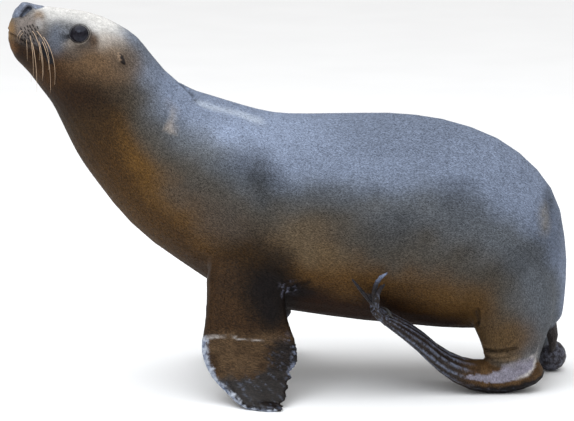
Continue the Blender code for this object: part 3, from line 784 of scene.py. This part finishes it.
def follicles(places):
    """Dark dashes of the follicles with their painted shadows on the whisker pad, in rows along the lip, seen
    square to it.
    """
    away = np.full(len(places), np.inf)
    near = np.linalg.norm(places - WHISKER_PAD, axis=1) < 0.044
    flat = (places[near] - WHISKER_PAD)[:, [0, 2]]
    for row in range(FOLLICLE_ROWS):
        for place in range(FOLLICLES - abs(row - 2) // 2):
            forward = 0.015 - FOLLICLE_STEP * (place + 0.35 * (row % 2))
            forward += 0.0009 * math.sin(5 * place + 3 * row)
            up = 0.002 - ROW_STEP * row - 0.25 * forward + 0.0009 * math.sin(4 * place + 7 * row)
            out = flat - (forward, up)
            width = out[:, 0] * FOLLICLE_LIE[1] - out[:, 1] * FOLLICLE_LIE[0]
            away[near] = np.minimum(away[near], np.hypot(out @ FOLLICLE_LIE / 2.6, width))
    return 0.9 * ease(0.0017, 0.0008, away)


def body_tone(points):
    """Blue-grey back, grey flanks and brown belly, with the throat and chest browner than the rump; the back's
    pale blue-grey is partly painted sheen of the sky, and the dark belly and throat are partly painted shade.
    """
    run, up, out, _ = in_body(points)
    height = np.degrees(np.arctan2(up, np.abs(out)))
    height += 9 * value_noise(points, 0.085, 1) + 5 * value_noise(points, 0.03, 2)
    share = run / AXIS_RUN[-1]
    back = np.interp(share, (0, 0.25, 0.4, 0.6, 1), (50, 36, 32, 28, 24))
    brown = np.interp(share, (0, 0.22, 0.34, 0.46, 0.58, 0.8, 1), (10, 6, -6, -6, -4, -20, -40))
    chest = bell(share - 0.33, 0.12)[:, None]
    neck = ease(0.29, 0.17, share)[:, None]
    low = LOW_SIDE + chest * (CHEST - LOW_SIDE)
    under = BELLY_AND_SHADE + chest * (CHEST - BELLY_AND_SHADE) * 0.45 + neck * (THROAT - BELLY_AND_SHADE) * 0.8
    # Lighter and bluer where the skin faces up, darker and browner where it faces down: partly the coat's own
    # colours, partly painted sheen above and painted shade below.
    return painted(BACK_AND_SHEEN, (ease(0.25, 0.15, share), NAPE),
                   (ease(back + 16, back - 16, height), FLANK + neck * (NECK - FLANK)),
                   (ease(brown + 30, brown + 4, height), SIDE + neck * (NECK_SIDE - SIDE)),
                   (ease(brown + 8, brown - 20, height), low + neck * (THROAT - low)),
                   (ease(brown - 16, brown - 42, height), under))


def face_tone(points, colours):
    """The body's colours with the face's laid over them, and how bare it is there."""
    places = one_side(points)
    head = ease(-0.2, -0.1, places[:, 0]) * ease(-0.28, -0.2, places[:, 2])
    patches = [(head * strength * soft_patch(places, centre, reaches), colour)
               for centre, reaches, colour, strength in HEAD_PATCHES]
    nose = ease(1.06, 0.98, nose_pad(places)) * head
    mottled = painted(rgb(100, 109, 127), (0.5 + 0.5 * value_noise(points, 0.006, 8), rgb(144, 152, 170)))
    nostril = nostril_at(places, curve_through(NOSTRIL, 24))
    mouth, along = distance_to(places, curve_through(MOUTH, 60))
    wander = 0.002 * value_noise(points, 0.008, 7)[:, None]
    corner, down = distance_to(places + wander, curve_through(MOUTH_CORNER, 20))
    corner += 0.002 * value_noise(points, 0.004, 12) + 0.0015 * down
    gape = head * ease(0.01, 0.006, corner)
    reach, beyond, turn, _ = eye_angles(places)
    rim = head * (reach < 0.026) * bell(beyond - 2.5, 3.5)
    below = head * (reach < 0.03) * bell(beyond - 9.5, 3.5) * ease(0.2, -0.5, np.sin(turn))
    colours = painted(colours, *patches, (nose, mottled),
                      # Painted shade in slits and grooves: the nostril's near-black core and the darkening
                      # round it, the dark mouth line, the dark gape at the mouth's corner, and the faint dark
                      # ring in the groove round the eye's lids.
                      (head * ease(0.009, 0.004, nostril) * 0.6, rgb(46, 46, 54)),
                      (head * ease(0.004, 0.0026, nostril), rgb(8, 8, 10)),
                      (0.5 * head * ease(0.006, 0.002, mouth) * ease(0.75, 0.45, along), rgb(60, 42, 28)),
                      (head * ease(0.0024, 0.001, mouth), rgb(16, 12, 10)),
                      (gape, rgb(24, 24, 30)), (rim, rgb(28, 25, 27)), (0.7 * below, rgb(176, 164, 152)),
                      (0.35 * head * (reach < 0.036) * bell(beyond - 17, 5), rgb(40, 34, 32)),
                      # dark follicles with their painted shadows
                      (head * follicles(places), rgb(18, 16, 18)))
    grain = 1 + 0.1 * value_noise(points, 0.012, 3) + 0.06 * value_noise(points, 0.005, 4)
    return np.clip(colours * grain[:, None], 0.002, 0.95), np.maximum(nose, np.maximum(gape, rim))


def body_marks(points, colours):
    """Mottles partly painted as light and shade, the pale streak behind the nape, the armpit's painted shade
    and the painted sheen of its wet streaks.
    """
    flat = points[:, [0, 2]]
    wander = 0.006 * np.stack([value_noise(points, 0.025, 5), value_noise(points, 0.025, 6)], 1)
    for x, z, wide, high, factor in BODY_SHADES:
        share = soft_patch(flat + wander, (x, z), (wide, high))
        colours = colours * (1 + share * (factor - 1))[:, None]
    tints = [(strength * soft_patch(flat + wander, centre, reaches), colour)
             for centre, reaches, colour, strength in BODY_TINTS]
    wet_sheen = ease(0, 0.5, value_noise((flat @ WET_SHEEN_LIE)[:, [0, 1, 1]], 0.0024, 11))
    away, along = distance_to(flat + 0.3 * wander, curve_through(STREAK, 50))
    streak = ease(0, 0.2, along) * ease(1, 0.8, along) * ease(0.006, 0.0015, away)
    return painted(colours, *tints,
                   # painted sheen of the sky on the wet streaks behind the fore flipper
                   (0.8 * wet_sheen * soft_patch(points, WET_SHEEN_PLACE, (0.014, 0.03, 0.017)), rgb(128, 130, 152)),
                   (0.75 * streak, rgb(196, 206, 222)))


def hand_tone(points, hand, colours):
    """Brown fur in the middle, bare slate skin towards the edges, and a pale leading edge that is partly
    scraped and partly painted sheen of the sky on the wet skin.
    """
    below, chord, fan, over = hand.places(points)
    streaks = value_noise(np.stack([fan * 0.4, below * 0.14, over], 1), 0.006, 31)
    grain = value_noise(points, 0.004, 32)
    coarse = value_noise(points, 0.014, 33)
    mixed = 0.5 + 0.5 * coarse
    fur = painted(rgb(58, 40, 22), (mixed, rgb(100, 78, 54)))
    slate = painted(rgb(26, 19, 15), (mixed, rgb(44, 38, 36)),
                    (0.7 * ease(0.35, 0.95, streaks + 0.5 * grain), rgb(92, 98, 114)),
                    (ease(0.3, 0.9, -streaks), rgb(15, 10, 8)))
    edge = 0.07 - 0.05 * ease(0.45, 1, chord) + 0.012 * ease(0.35, 0, chord)
    bare = ease(edge - 0.008, edge + 0.012, below + 0.012 * coarse + 0.006 * grain)
    bare = np.maximum(bare, ease(0.66, 0.8, chord + 0.1 * streaks) * ease(-0.004, 0.012, below))
    # The pale leading edge: partly scraped skin, partly painted sheen along the wet edge.
    away, place = distance_to(points, hand.leading)
    reach = np.interp(place, (0, 0.1, 0.22, 0.45, 0.7, 1), (0.004, 0.02, 0.018, 0.012, 0.008, 0.0045))
    worn_and_sheen = ease(reach, 0.45 * reach, away + 0.0035 * grain + 0.0025 * streaks)
    worn_and_sheen *= ease(WRIST_LINE - 0.006, WRIST_LINE + 0.002, below)
    rubbed_and_sheen = painted(WORN_AND_SHEEN, (0.45 + 0.9 * grain, rgb(112, 124, 150)))
    frayed, place = distance_to(points, hand.trailing)
    scraped = ease(0.016, 0.004, frayed) * ease(0.25, 0.75, streaks + grain) * ease(0.3, 0.5, place)
    heel = bell(place - 0.58, 0.05) * ease(0.011, 0.006, frayed + 0.003 * grain)
    line = bell(wrist_fold(below, chord) + 0.005 * coarse, 0.0012) * ease(0.68, 0.58, chord)
    shown = painted(fur, (bare, slate), (worn_and_sheen, rubbed_and_sheen),
                    (np.maximum(0.75 * scraped, heel), rgb(150, 160, 186)),
                    (line * (0.75 + 0.25 * grain), rgb(196, 190, 186)))
    top = ease(WRIST_LINE - 0.012, WRIST_LINE, below)
    return painted(colours, (top, shown)), bare * top


def foot_tone(points, limb, near):
    """Fur on the near foot's instep, wet sole and ridged dark skin to the toes, with painted sheen on the wet
    skin and painted highlights on the ridges' crests.
    """
    along, angle, ridges = foot_places(points, limb)
    coarse = value_noise(points, 0.012, 41)
    grain = value_noise(points, 0.004, 42)
    mixed = 0.5 + 0.5 * coarse
    dark = painted(rgb(38, 29, 24), (mixed, rgb(62, 54, 50)),
                   # painted highlights on the crests of the toes' ridges
                   (ease(0.2, 0.9, ridges + 0.5 * grain), rgb(112, 118, 136)))
    if near:
        fur = painted(rgb(64, 44, 24), (mixed, rgb(108, 80, 48)))
        # dark wet sole with flecks of painted sheen
        wet_sheen = painted(rgb(24, 18, 18), (ease(0.2, 0.9, grain), rgb(80, 82, 94)))
        sole = ease(-16, -30, np.degrees(angle) + 5 * coarse) * ease(0.18, 0.12, along)
        shown = painted(fur, (ease(0.12, 0.18, along + 0.012 * coarse), dark), (sole, wet_sheen))
    else:
        # the far foot's wet heel, with flecks of painted sheen
        wet_sheen = painted(rgb(52, 47, 50), (ease(-0.4, 0.7, grain), rgb(112, 114, 128)))
        shown = painted(wet_sheen, (ease(0.06, 0.12, along + 0.012 * coarse), dark))
    end = limb.end - limb.start
    tip_highlights = np.max([soft_patch(points, place, (0.013, 0.02, 0.011)) for place in TOE_TIP_HIGHLIGHTS], axis=0)
    shown = painted(shown, (0.9 * ease(end - 0.075, end - 0.06, along), rgb(40, 36, 40)),
                    # painted highlight on the raised toes' flaps
                    (tip_highlights * (0.8 + 0.2 * grain), rgb(150, 164, 196)))
    return shown, np.maximum(ease(0.12, 0.18, along), float(not near))


def with_crescent(points, colours, bare):
    """Lays the bare crescent and its pale rim over the foot and the ankle; their pale colours are partly
    painted sheen of the sky on the wet skin.
    """
    grain = value_noise(points, 0.004, 42)
    away, place = distance_to(points, curve_through(CRESCENT, 90))
    reach = np.interp(place, np.linspace(0, 1, len(CRESCENT_WIDTHS)), CRESCENT_WIDTHS)
    share = (away + 0.0018 * grain) / reach
    inside = ease(1.1, 0.92, share)
    mauve = painted(MAUVE, (0.4 + 0.4 * grain, rgb(112, 108, 118)))
    # The near-white rim is partly a painted highlight along the crescent's edge.
    rim = bell(share - 0.95, 0.18) * ease(0.5, 0.8, place)
    return painted(colours, (inside, mauve), (0.9 * rim, rgb(222, 216, 212))), np.maximum(bare, inside)


def tone_of(mesh, shares):
    """The colour of the skin at its vertices, and how bare it is there."""
    points = points_of(mesh)
    colours, bare = face_tone(points, body_tone(points))
    fur = rgb(66, 45, 24) * (1 + 0.25 * value_noise(points, 0.016, 9))[:, None]
    for side in SIDES:
        arm = ease(0.3, 0.9, shares[f"fore_{side}"]) * ease(0.3, 0.22, points[:, 2])
        colours = painted(colours, (0.9 * arm, fur))
    colours = body_marks(points, colours)
    # Painted shade: the skin darkens along each crease.
    for line, wide, _ in creases_on(mesh):
        away, along = distance_to(one_way(points), line)
        shade = bell(away, 0.5 * wide) * ease(0, 0.2, along) * ease(1, 0.8, along)
        colours = colours * (1 - 0.8 * shade)[:, None]
    for side in SIDES:
        shown, naked = hand_tone(points, HAND_FRAMES[side], colours)
        share = ease(0.2, 0.7, shares[f"fore_{side}"])
        colours = painted(colours, (share, shown))
        bare = np.maximum(bare, share * naked)
        shown, naked = foot_tone(points, LIMBS[f"foot_{side}"], side == "left")
        share = shares[f"foot_{side}"]
        colours = painted(colours, (ease(0.35, 0.65, share), shown))
        bare = np.maximum(bare, share * naked)
    colours, bare = with_crescent(points, colours, bare)
    behind = one_side(points)[:, 0] < -0.0705
    ear = np.where(behind[:, None], rgb(34, 27, 24), rgb(150, 126, 104))
    colours = painted(colours, (ease(0.3, 0.8, shares["tail"]), rgb(62, 56, 54)),
                      (ease(0.3, 0.9, shares["ears"]), ear))
    return np.clip(colours, 0.002, 0.95), np.clip(bare, 0, 1)


# ---- materials ----

def new_material(name, roughness, specular):
    """A material with its nodes and its Principled node."""
    made = bpy.data.materials.new(name)
    made.use_nodes = True
    shader = made.node_tree.nodes["Principled BSDF"]
    shader.inputs["Roughness"].default_value = roughness
    shader.inputs["Specular IOR Level"].default_value = specular
    return made, made.node_tree, shader


def attribute(tree, name, output):
    found = tree.nodes.new("ShaderNodeAttribute")
    found.attribute_name = name
    return found.outputs[output]


def ramp(tree, source, stops):
    """A colour ramp over a value: pairs of a place and a grey."""
    made = tree.nodes.new("ShaderNodeValToRGB")
    elements = made.color_ramp.elements
    for place, _ in stops[2:]:
        elements.new(place)
    for element, (place, grey) in zip(elements, stops):
        element.position = place
        element.color = (grey, grey, grey, 1)
    tree.links.new(source, made.inputs["Fac"])
    return made.outputs["Color"]


def noise(tree, vector, scale, detail=2.0):
    made = tree.nodes.new("ShaderNodeTexNoise")
    made.inputs["Scale"].default_value = scale
    made.inputs["Detail"].default_value = detail
    tree.links.new(vector, made.inputs["Vector"])
    return made.outputs["Fac"]


def colour_mix(tree, blend, **sockets):
    """A mix of two colours; each socket takes a constant or another node's output."""
    made = tree.nodes.new("ShaderNodeMix")
    made.data_type = "RGBA"
    made.blend_type = blend
    for name, value in sockets.items():
        if isinstance(value, (float, tuple)):
            made.inputs[name].default_value = value
        else:
            tree.links.new(value, made.inputs[name])
    return made.outputs["Result"]


def coat_material(name, roughness, specular, stretch, bump):
    """Fur or skin: the colour of the place, peppered with hairs along its lie, most where it is dark."""
    made, tree, shader = new_material(name, roughness, specular)
    lie = attribute(tree, "lie", "Vector")
    stretched = tree.nodes.new("ShaderNodeMapping")
    stretched.inputs["Scale"].default_value = (stretch, 1.0, 1.0)
    tree.links.new(lie, stretched.inputs["Vector"])
    hairs = noise(tree, stretched.outputs["Vector"], 560.0, 3.0)
    tone = attribute(tree, "tone", "Color")
    share = ramp(tree, tone, ((0.0, 1.0), (0.05, 0.6), (0.3, 0.25)))
    pepper = ramp(tree, hairs, ((0.38, 0.36), (0.64, 1.8)))
    pepper = colour_mix(tree, "MIX", Factor=share, A=(1.0, 1.0, 1.0, 1.0), B=pepper)
    blotch = ramp(tree, noise(tree, lie, 170.0), ((0.3, 0.9), (0.72, 1.08)))
    colour = colour_mix(tree, "MULTIPLY", Factor=1.0, A=tone, B=pepper)
    colour = colour_mix(tree, "MULTIPLY", Factor=1.0, A=colour, B=blotch)
    tree.links.new(colour, shader.inputs["Base Color"])
    if bump:
        gloss = ramp(tree, attribute(tree, "bare", "Fac"), ((0.0, roughness), (1.0, 0.38)))
        tree.links.new(gloss, shader.inputs["Roughness"])
        relief = tree.nodes.new("ShaderNodeBump")
        relief.inputs["Strength"].default_value = bump
        relief.inputs["Distance"].default_value = 0.0008
        tree.links.new(hairs, relief.inputs["Height"])
        tree.links.new(relief.outputs["Normal"], shader.inputs["Normal"])
    return made


def mottled_material(name, roughness, specular, scale, detail, stops, tint=(1.0, 1.0, 1.0, 1.0)):
    """One tint whose brightness wanders between two stops."""
    made, tree, shader = new_material(name, roughness, specular)
    place = tree.nodes.new("ShaderNodeTexCoord").outputs["Object"]
    shade = ramp(tree, noise(tree, place, scale, detail), stops)
    tree.links.new(colour_mix(tree, "MULTIPLY", Factor=1.0, A=shade, B=tint), shader.inputs["Base Color"])
    return made


# ---- skin ----

def lie_of(points):
    """Coordinates whose first one runs with the hair, for the materials."""
    return np.stack(in_body(points)[:3], 1)


def hair_way(mesh, shares):
    """The direction in which the hair lies at each vertex."""
    points = points_of(mesh)
    way = in_body(points)[3].copy()
    for name, limb in LIMBS.items():
        way += ease(0.1, 0.7, shares[name])[:, None] * (limb.chart(points)[3] - way)
    return flattened(Net(mesh).spread(way, 8), normals_of(mesh))


def flattened(way, normals):
    """Directions turned to lie along the skin."""
    return unit(way - (way * normals).sum(1)[:, None] * normals)


def write_look(mesh, colours, bare, lie):
    """Stores colours, bareness and lie on a mesh's points."""
    shown = np.concatenate([colours, np.ones((len(colours), 1))], 1)
    mesh.attributes.new("tone", "FLOAT_COLOR", "POINT").data.foreach_set("color", shown.ravel())
    mesh.attributes.new("bare", "FLOAT", "POINT").data.foreach_set("value", bare)
    mesh.attributes.new("lie", "FLOAT_VECTOR", "POINT").data.foreach_set("vector", lie.ravel())


def make_skin():
    """The skin's mesh, and what the coat needs to know at each of its vertices."""
    mesh = base_form()
    mesh.name = "skin"
    sculpt_head(mesh)
    shares = sculpt_body(mesh)
    mesh.shade_smooth()
    colours, bare = tone_of(mesh, shares)
    write_look(mesh, colours, bare, lie_of(points_of(mesh)))
    mesh.materials.append(coat_material("skin", 0.65, 0.15, 0.55, 0.45))
    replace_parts(new_piece("skin", mesh), *FLESH)
    return mesh, shares, colours, bare


# ---- coat ----

TUFTS = 130000
TUFTS_PER_PIECE = 19000          # keeps each piece under 200,000 triangles
PATCH = 0.003                    # width of a tuft's patch on the unwrap
TUFT_FACES = np.array([(0, 1, 4), (0, 4, 3), (1, 2, 5), (1, 5, 4), (2, 0, 3), (2, 3, 5),
                       (3, 4, 6), (4, 5, 6), (5, 3, 6)])
TUFT_TONES = np.array([0.94, 0.95, 0.94, 1, 1, 1, 1.06])                 # lighter towards the tip
TUFT_PATCH = np.array([(-0.5, -0.5), (0, -0.5), (0.5, -0.5), (-0.3, 0.1), (0, 0.1), (0.3, 0.1), (0, 0.5)])


def hair_length(points, shares, bare):
    """Length of the tufts: short on the face and feet, and none on bare skin, lids, ears and lips."""
    places = one_side(points)
    forward = places[:, 0]
    length = np.full(len(points), 0.0044)
    head = ease(-0.16, -0.02, forward) * ease(-0.26, -0.12, places[:, 2])
    length += head * (0.0036 - length)
    length += head * ease(0.02, 0.08, forward) * (0.0021 - length)
    length *= np.where(forward > -0.1, ease(0.022, 0.04, eye_angles(places)[0]), 1)
    mouth = distance_to(places, curve_through(MOUTH, 40))[0]
    length *= np.where(forward > 0.02, ease(0.0015, 0.006, mouth), 1)
    length *= np.where(forward > 0.02, ease(1, 1.25, nose_pad(places)), 1)
    for name in LIMBS:
        length += ease(0.2, 0.9, shares[name]) * (0.004 - length)
    for side in SIDES:
        length += shares[f"hand_{side}"] * (0.0026 - length)
        length += shares[f"foot_{side}"] * (0.0022 - length)
    return length * (1 - ease(0.15, 0.6, bare)) * (1 - ease(0.1, 0.4, shares["ears"]))


def scattered(mesh, weight, count):
    """Random points spread over a mesh in step with a weight of its vertices: triangles and shares."""
    mesh.calc_loop_triangles()
    corners = get(mesh.loop_triangles, "vertices", 3, np.int32)
    mass = get(mesh.loop_triangles, "area") * weight[corners].mean(1)
    mass[weight[corners].min(1) <= 0] = 0
    bounds = np.cumsum(mass)
    picks = (np.arange(count) + RNG.random(count)) / count * bounds[-1]
    return picked_on(corners, RNG, count, np.minimum(np.searchsorted(bounds, picks), len(corners) - 1))


def tuft_points(roots, normals, way, length):
    """Three-sided spikes that rise from the skin and bend to lie along it, seven points each."""
    count = len(roots)
    side = np.cross(normals, way)
    sway = np.radians(RNG.normal(0, 9, count)) + 0.22 * value_noise(roots, 0.03, 51)
    way = way * np.cos(sway)[:, None] + side * np.sin(sway)[:, None]
    side = np.cross(normals, way)
    half = (0.085 * length + 0.00008)[:, None]
    long = length[:, None]
    lift = (0.035 + 0.03 * RNG.random(count))[:, None]
    base = roots - 0.0003 * normals
    middle = roots + 0.45 * long * way + 0.62 * lift * long * normals
    tip = roots + long * way + lift * long * normals
    ridge = 0.22 * half * normals
    return np.stack([base - half * side, base + 0.8 * ridge, base + half * side,
                     middle - 0.9 * half * side, middle + ridge, middle + 0.9 * half * side, tip], 1)


def stretched_to_square(values):
    low, high = values.min(), values.max()
    return 0.004 + 0.992 * (values - low) / (high - low)


def add_coat(name, points, shades, lie, around, along):
    """One piece of many tufts, each with its patch on the unwrap at its root's place round and along."""
    count = len(points)
    faces = (TUFT_FACES[None] + 7 * np.arange(count)[:, None, None]).reshape(-1, 3)
    mesh = bpy.data.meshes.new(name)
    mesh.vertices.add(7 * count)
    mesh.vertices.foreach_set("co", points.ravel())
    mesh.loops.add(faces.size)
    mesh.loops.foreach_set("vertex_index", faces.ravel())
    mesh.polygons.add(len(faces))
    mesh.polygons.foreach_set("loop_start", np.arange(0, faces.size, 3))
    mesh.update(calc_edges=True)
    colours = np.clip(shades[:, None] * TUFT_TONES[None, :, None], 0.002, 0.98).reshape(-1, 3)
    write_look(mesh, colours, np.zeros(7 * count), np.repeat(lie, 7, 0))
    places = np.stack([stretched_to_square(around), stretched_to_square(along)], 1)
    spots = (places[:, None] + PATCH * TUFT_PATCH[None]).reshape(-1, 2)
    layer = mesh.uv_layers.new(name="OFBake")
    layer.data.foreach_set("uv", spots[faces.ravel()].astype(np.float32).ravel())
    mesh.materials.append(FUR_FINISH)
    new_piece(name, mesh)


def make_coat(mesh, shares, colours, bare):
    """The tufts, in pieces: the body in bands from the nose to the tail, and the limbs."""
    points = points_of(mesh)
    length = hair_length(points, shares, bare)
    weight = np.where(length > 0.0007, 1 / np.maximum(length, 0.0018) ** 1.15, 0)
    corners, part = scattered(mesh, weight, TUFTS)

    def at(values):
        """Values of the vertices read at the roots."""
        return (values[corners] * (part if values.ndim == 1 else part[:, :, None])).sum(1)

    roots = at(points)
    up = unit(at(normals_of(mesh)))
    way = flattened(at(hair_way(mesh, shares)), up)
    long = at(length) * (0.8 + 0.4 * RNG.random(TUFTS))
    shades = at(colours)
    spread = 0.06 + 0.12 * ease(0.2, 0.02, shades.mean(1))
    shades = shades * np.exp(RNG.normal(0, 1, TUFTS) * spread)[:, None]
    on_limbs = np.array([at(shares[name]) for name in LIMBS])
    on_limb = on_limbs.max(axis=0) > 0.5
    shapes = tuft_points(roots, up, way, long)
    lie = lie_of(roots)
    run, dorsal, sideways, _ = in_body(roots)
    turn = np.arctan2(sideways, dorsal)
    body = np.nonzero(~on_limb)[0]
    body = body[np.argsort(run[body])]
    for number, band in enumerate(np.array_split(body, math.ceil(len(body) / TUFTS_PER_PIECE))):
        add_coat(f"coat_body_{number + 1}", shapes[band], shades[band], lie[band], turn[band], run[band])
    for number, (name, limb) in enumerate(LIMBS.items()):
        band = np.nonzero(on_limb & (on_limbs.argmax(axis=0) == number))[0]
        if len(band) < 20:
            continue
        along, out, over, _ = limb.chart(roots[band])
        add_coat(f"coat_{name}", shapes[band], shades[band], lie[band], np.arctan2(over, out), along)


# ---- eyes and whiskers ----

EYE_TINT, WHISKER_TINT = (0.85, 0.72, 1.0, 1.0), (0.66, 0.47, 0.31, 1.0)


def make_eye(side, centre):
    mesh = bpy.data.meshes.new(f"eyeball_{side}")
    work = bmesh.new()
    bmesh.ops.create_uvsphere(work, u_segments=48, v_segments=32, radius=EYE_RADIUS)
    work.to_mesh(mesh)
    work.free()
    mesh.transform(Matrix.Translation(centre))
    mesh.shade_smooth()
    mesh.materials.append(EYE_FINISH)
    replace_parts(new_piece(f"eyeball_{side}", mesh), f"eye_{side}")


WHISKER_RADIUS, WHISKER_RINGS, WHISKER_SIDES = 0.00052, 16, 6
# Each whisker: how far forward of the pad's middle and above it its root lies, its length, how far it
# stands out and how far back its tip comes.
WHISKERS = [
    (0.004, -0.018, 0.036, 0.012, 0), (-0.003, -0.013, 0.072, 0.018, 0.004),
    (-0.006, -0.021, 0.088, 0.02, 0.006), (-0.014, -0.014, 0.084, 0.022, 0.01),
    (-0.02, -0.02, 0.096, 0.022, 0.013), (-0.023, -0.011, 0.092, 0.024, 0.019),
    (-0.018, -0.001, 0.07, 0.026, 0.02), (-0.009, -0.003, 0.05, 0.02, 0.012),
    (0.012, -0.007, 0.018, 0.014, -0.01), (-0.015, -0.021, 0.06, 0.02, 0.006),
    (0.017, -0.001, 0.016, 0.014, -0.01),
]


def tube(line, radii):
    """Points and faces of a closed tube along a line."""
    along = unit(np.gradient(line, axis=0))
    across = unit(np.cross(along, np.array([0.3, 0.1, 1.0])))
    other = np.cross(along, across)
    sides = WHISKER_SIDES
    turn = np.linspace(0, 2 * math.pi, sides, endpoint=False)
    ring = np.cos(turn)[None, :, None] * across[:, None] + np.sin(turn)[None, :, None] * other[:, None]
    points = (line[:, None] + radii[:, None, None] * ring).reshape(-1, 3)
    faces = [(start + k, start + (k + 1) % sides, start + sides + (k + 1) % sides, start + sides + k)
             for start in range(0, (len(line) - 1) * sides, sides) for k in range(sides)]
    last = (len(line) - 1) * sides
    return points, faces + [tuple(range(sides))[::-1], tuple(range(last, last + sides))]


def make_whiskers(side, sign, skin):
    """Whiskers that leave the pad outwards and droop, thinner towards the tip."""
    points, faces = [], []
    roots = np.array([(WHISKER_PAD[0] + w[0], sign * (WHISKER_PAD[1] + 0.02), WHISKER_PAD[2] + w[1])
                      for w in WHISKERS])
    roots = in_head(laid_on(from_head(roots), skin)) - (0, 0.0015 * sign, 0)
    share = np.linspace(0, 1, WHISKER_RINGS)
    for root, (_, _, length, stand, back) in zip(roots, WHISKERS):
        length *= 0.94 + 0.12 * RNG.random()
        swing = np.sin(1.9 * share)
        down = length * (0.3 * share + 0.68 * share**1.5)
        line = root + np.stack([-back * swing, stand * swing * sign, -down], 1)
        radii = WHISKER_RADIUS * (1 - 0.75 * share**1.5) * (0.5 + 0.5 * min(1.0, length / 0.07))
        made, sides = tube(from_head(line), radii)
        faces += [tuple(k + len(points) for k in face) for face in sides]
        points += made.tolist()
    mesh = bpy.data.meshes.new(f"whiskers_{side}")
    mesh.from_pydata(points, [], faces)
    mesh.shade_smooth()
    mesh.materials.append(WHISKER_FINISH)
    new_piece(f"whiskers_{side}", mesh)


# ---- camera, lights and floor ----

VIEW_MIDDLE = (-0.0106, 0.0, 0.3118)
VIEW_HEIGHT = math.radians(11.0)
VIEW_DISTANCE = 5.0
LENS = 169.5
SKY = ((0.0, 0.72), (0.1, 0.62), (0.22, 0.5), (1.0, 1.25))    # brightness from the horizon to the zenith


def add_camera():
    data = bpy.data.cameras.new("camera")
    data.lens = LENS
    camera = new_object("camera", data)
    away = Vector((0, -math.cos(VIEW_HEIGHT), math.sin(VIEW_HEIGHT)))
    camera.location = Vector(VIEW_MIDDLE) + away * VIEW_DISTANCE
    camera.rotation_euler = (math.pi / 2 - VIEW_HEIGHT, 0, 0)
    bpy.context.scene.camera = camera


def add_area(name, place, target, size, power, colour):
    data = bpy.data.lights.new(name, "AREA")
    data.shape = "DISK"
    data.size = size
    data.energy = power
    data.color = colour
    light = new_object(name, data)
    light.location = place
    light.rotation_euler = (Vector(target) - Vector(place)).to_track_quat("-Z", "Y").to_euler()


def add_light():
    world = bpy.data.worlds.new("studio")
    bpy.context.scene.world = world
    world.use_nodes = True
    tree = world.node_tree
    way = tree.nodes.new("ShaderNodeTexCoord").outputs["Generated"]
    split = tree.nodes.new("ShaderNodeSeparateXYZ")
    tree.links.new(way, split.inputs[0])
    tree.links.new(ramp(tree, split.outputs["Z"], SKY), tree.nodes["Background"].inputs["Color"])
    tree.nodes["Background"].inputs["Strength"].default_value = 1.0
    add_area("overhead", (-0.3, -0.5, 3.0), (0, 0, 0.3), 5.0, 92, (0.92, 0.96, 1.0))
    add_area("glint", (-1.0, -1.8, 2.3), (-0.4, 0, 0.5), 1.5, 11, (0.9, 0.94, 1.0))


def add_floor():
    mesh = bpy.data.meshes.new("floor")
    mesh.from_pydata([(-30, -30, 0), (30, -30, 0), (30, 30, 0), (-30, 30, 0)], [], [(0, 1, 2, 3)])
    mesh.materials.append(mottled_material("floor", 0.9, 0.1, 3.0, 2.0, ((0.3, 0.9), (0.7, 0.92))))
    new_object("floor", mesh)


# ---- everything ----

add_camera()
add_light()
add_floor()
EYE_FINISH = mottled_material("eye", 0.04, 0.22, 260.0, 4.0, ((0.35, 0.004), (0.75, 0.018)), EYE_TINT)
EYE_FINISH.node_tree.nodes["Principled BSDF"].inputs["Specular Tint"].default_value = (0.74, 0.82, 1.0, 1.0)
HORN_FINISH = mottled_material("claw", 0.35, 0.5, 900.0, 3.0, ((0.3, 0.02), (0.7, 0.06)))
WHISKER_FINISH = mottled_material("whisker", 0.4, 0.5, 60.0, 2.0, ((0.3, 0.62), (0.7, 0.95)), WHISKER_TINT)
FUR_FINISH = coat_material("fur", 0.68, 0.09, 1.0, 0.0)
SKIN, *SKIN_LOOK = make_skin()
make_coat(SKIN, *SKIN_LOOK)
for SIDE_NAME, SIGN in (("left", 1), ("right", -1)):
    make_whiskers(SIDE_NAME, SIGN, SKIN)
for SIDE_NAME, CENTRE in (("left", EYE_LEFT), ("right", EYE_RIGHT)):
    make_eye(SIDE_NAME, CENTRE)
for NAME, NODE in NODES.items():
    if NAME.startswith("claw"):
        for SLOT in NODE.material_slots:
            SLOT.material = HORN_FINISH
bpy.context.scene.view_settings.view_transform = "Standard"
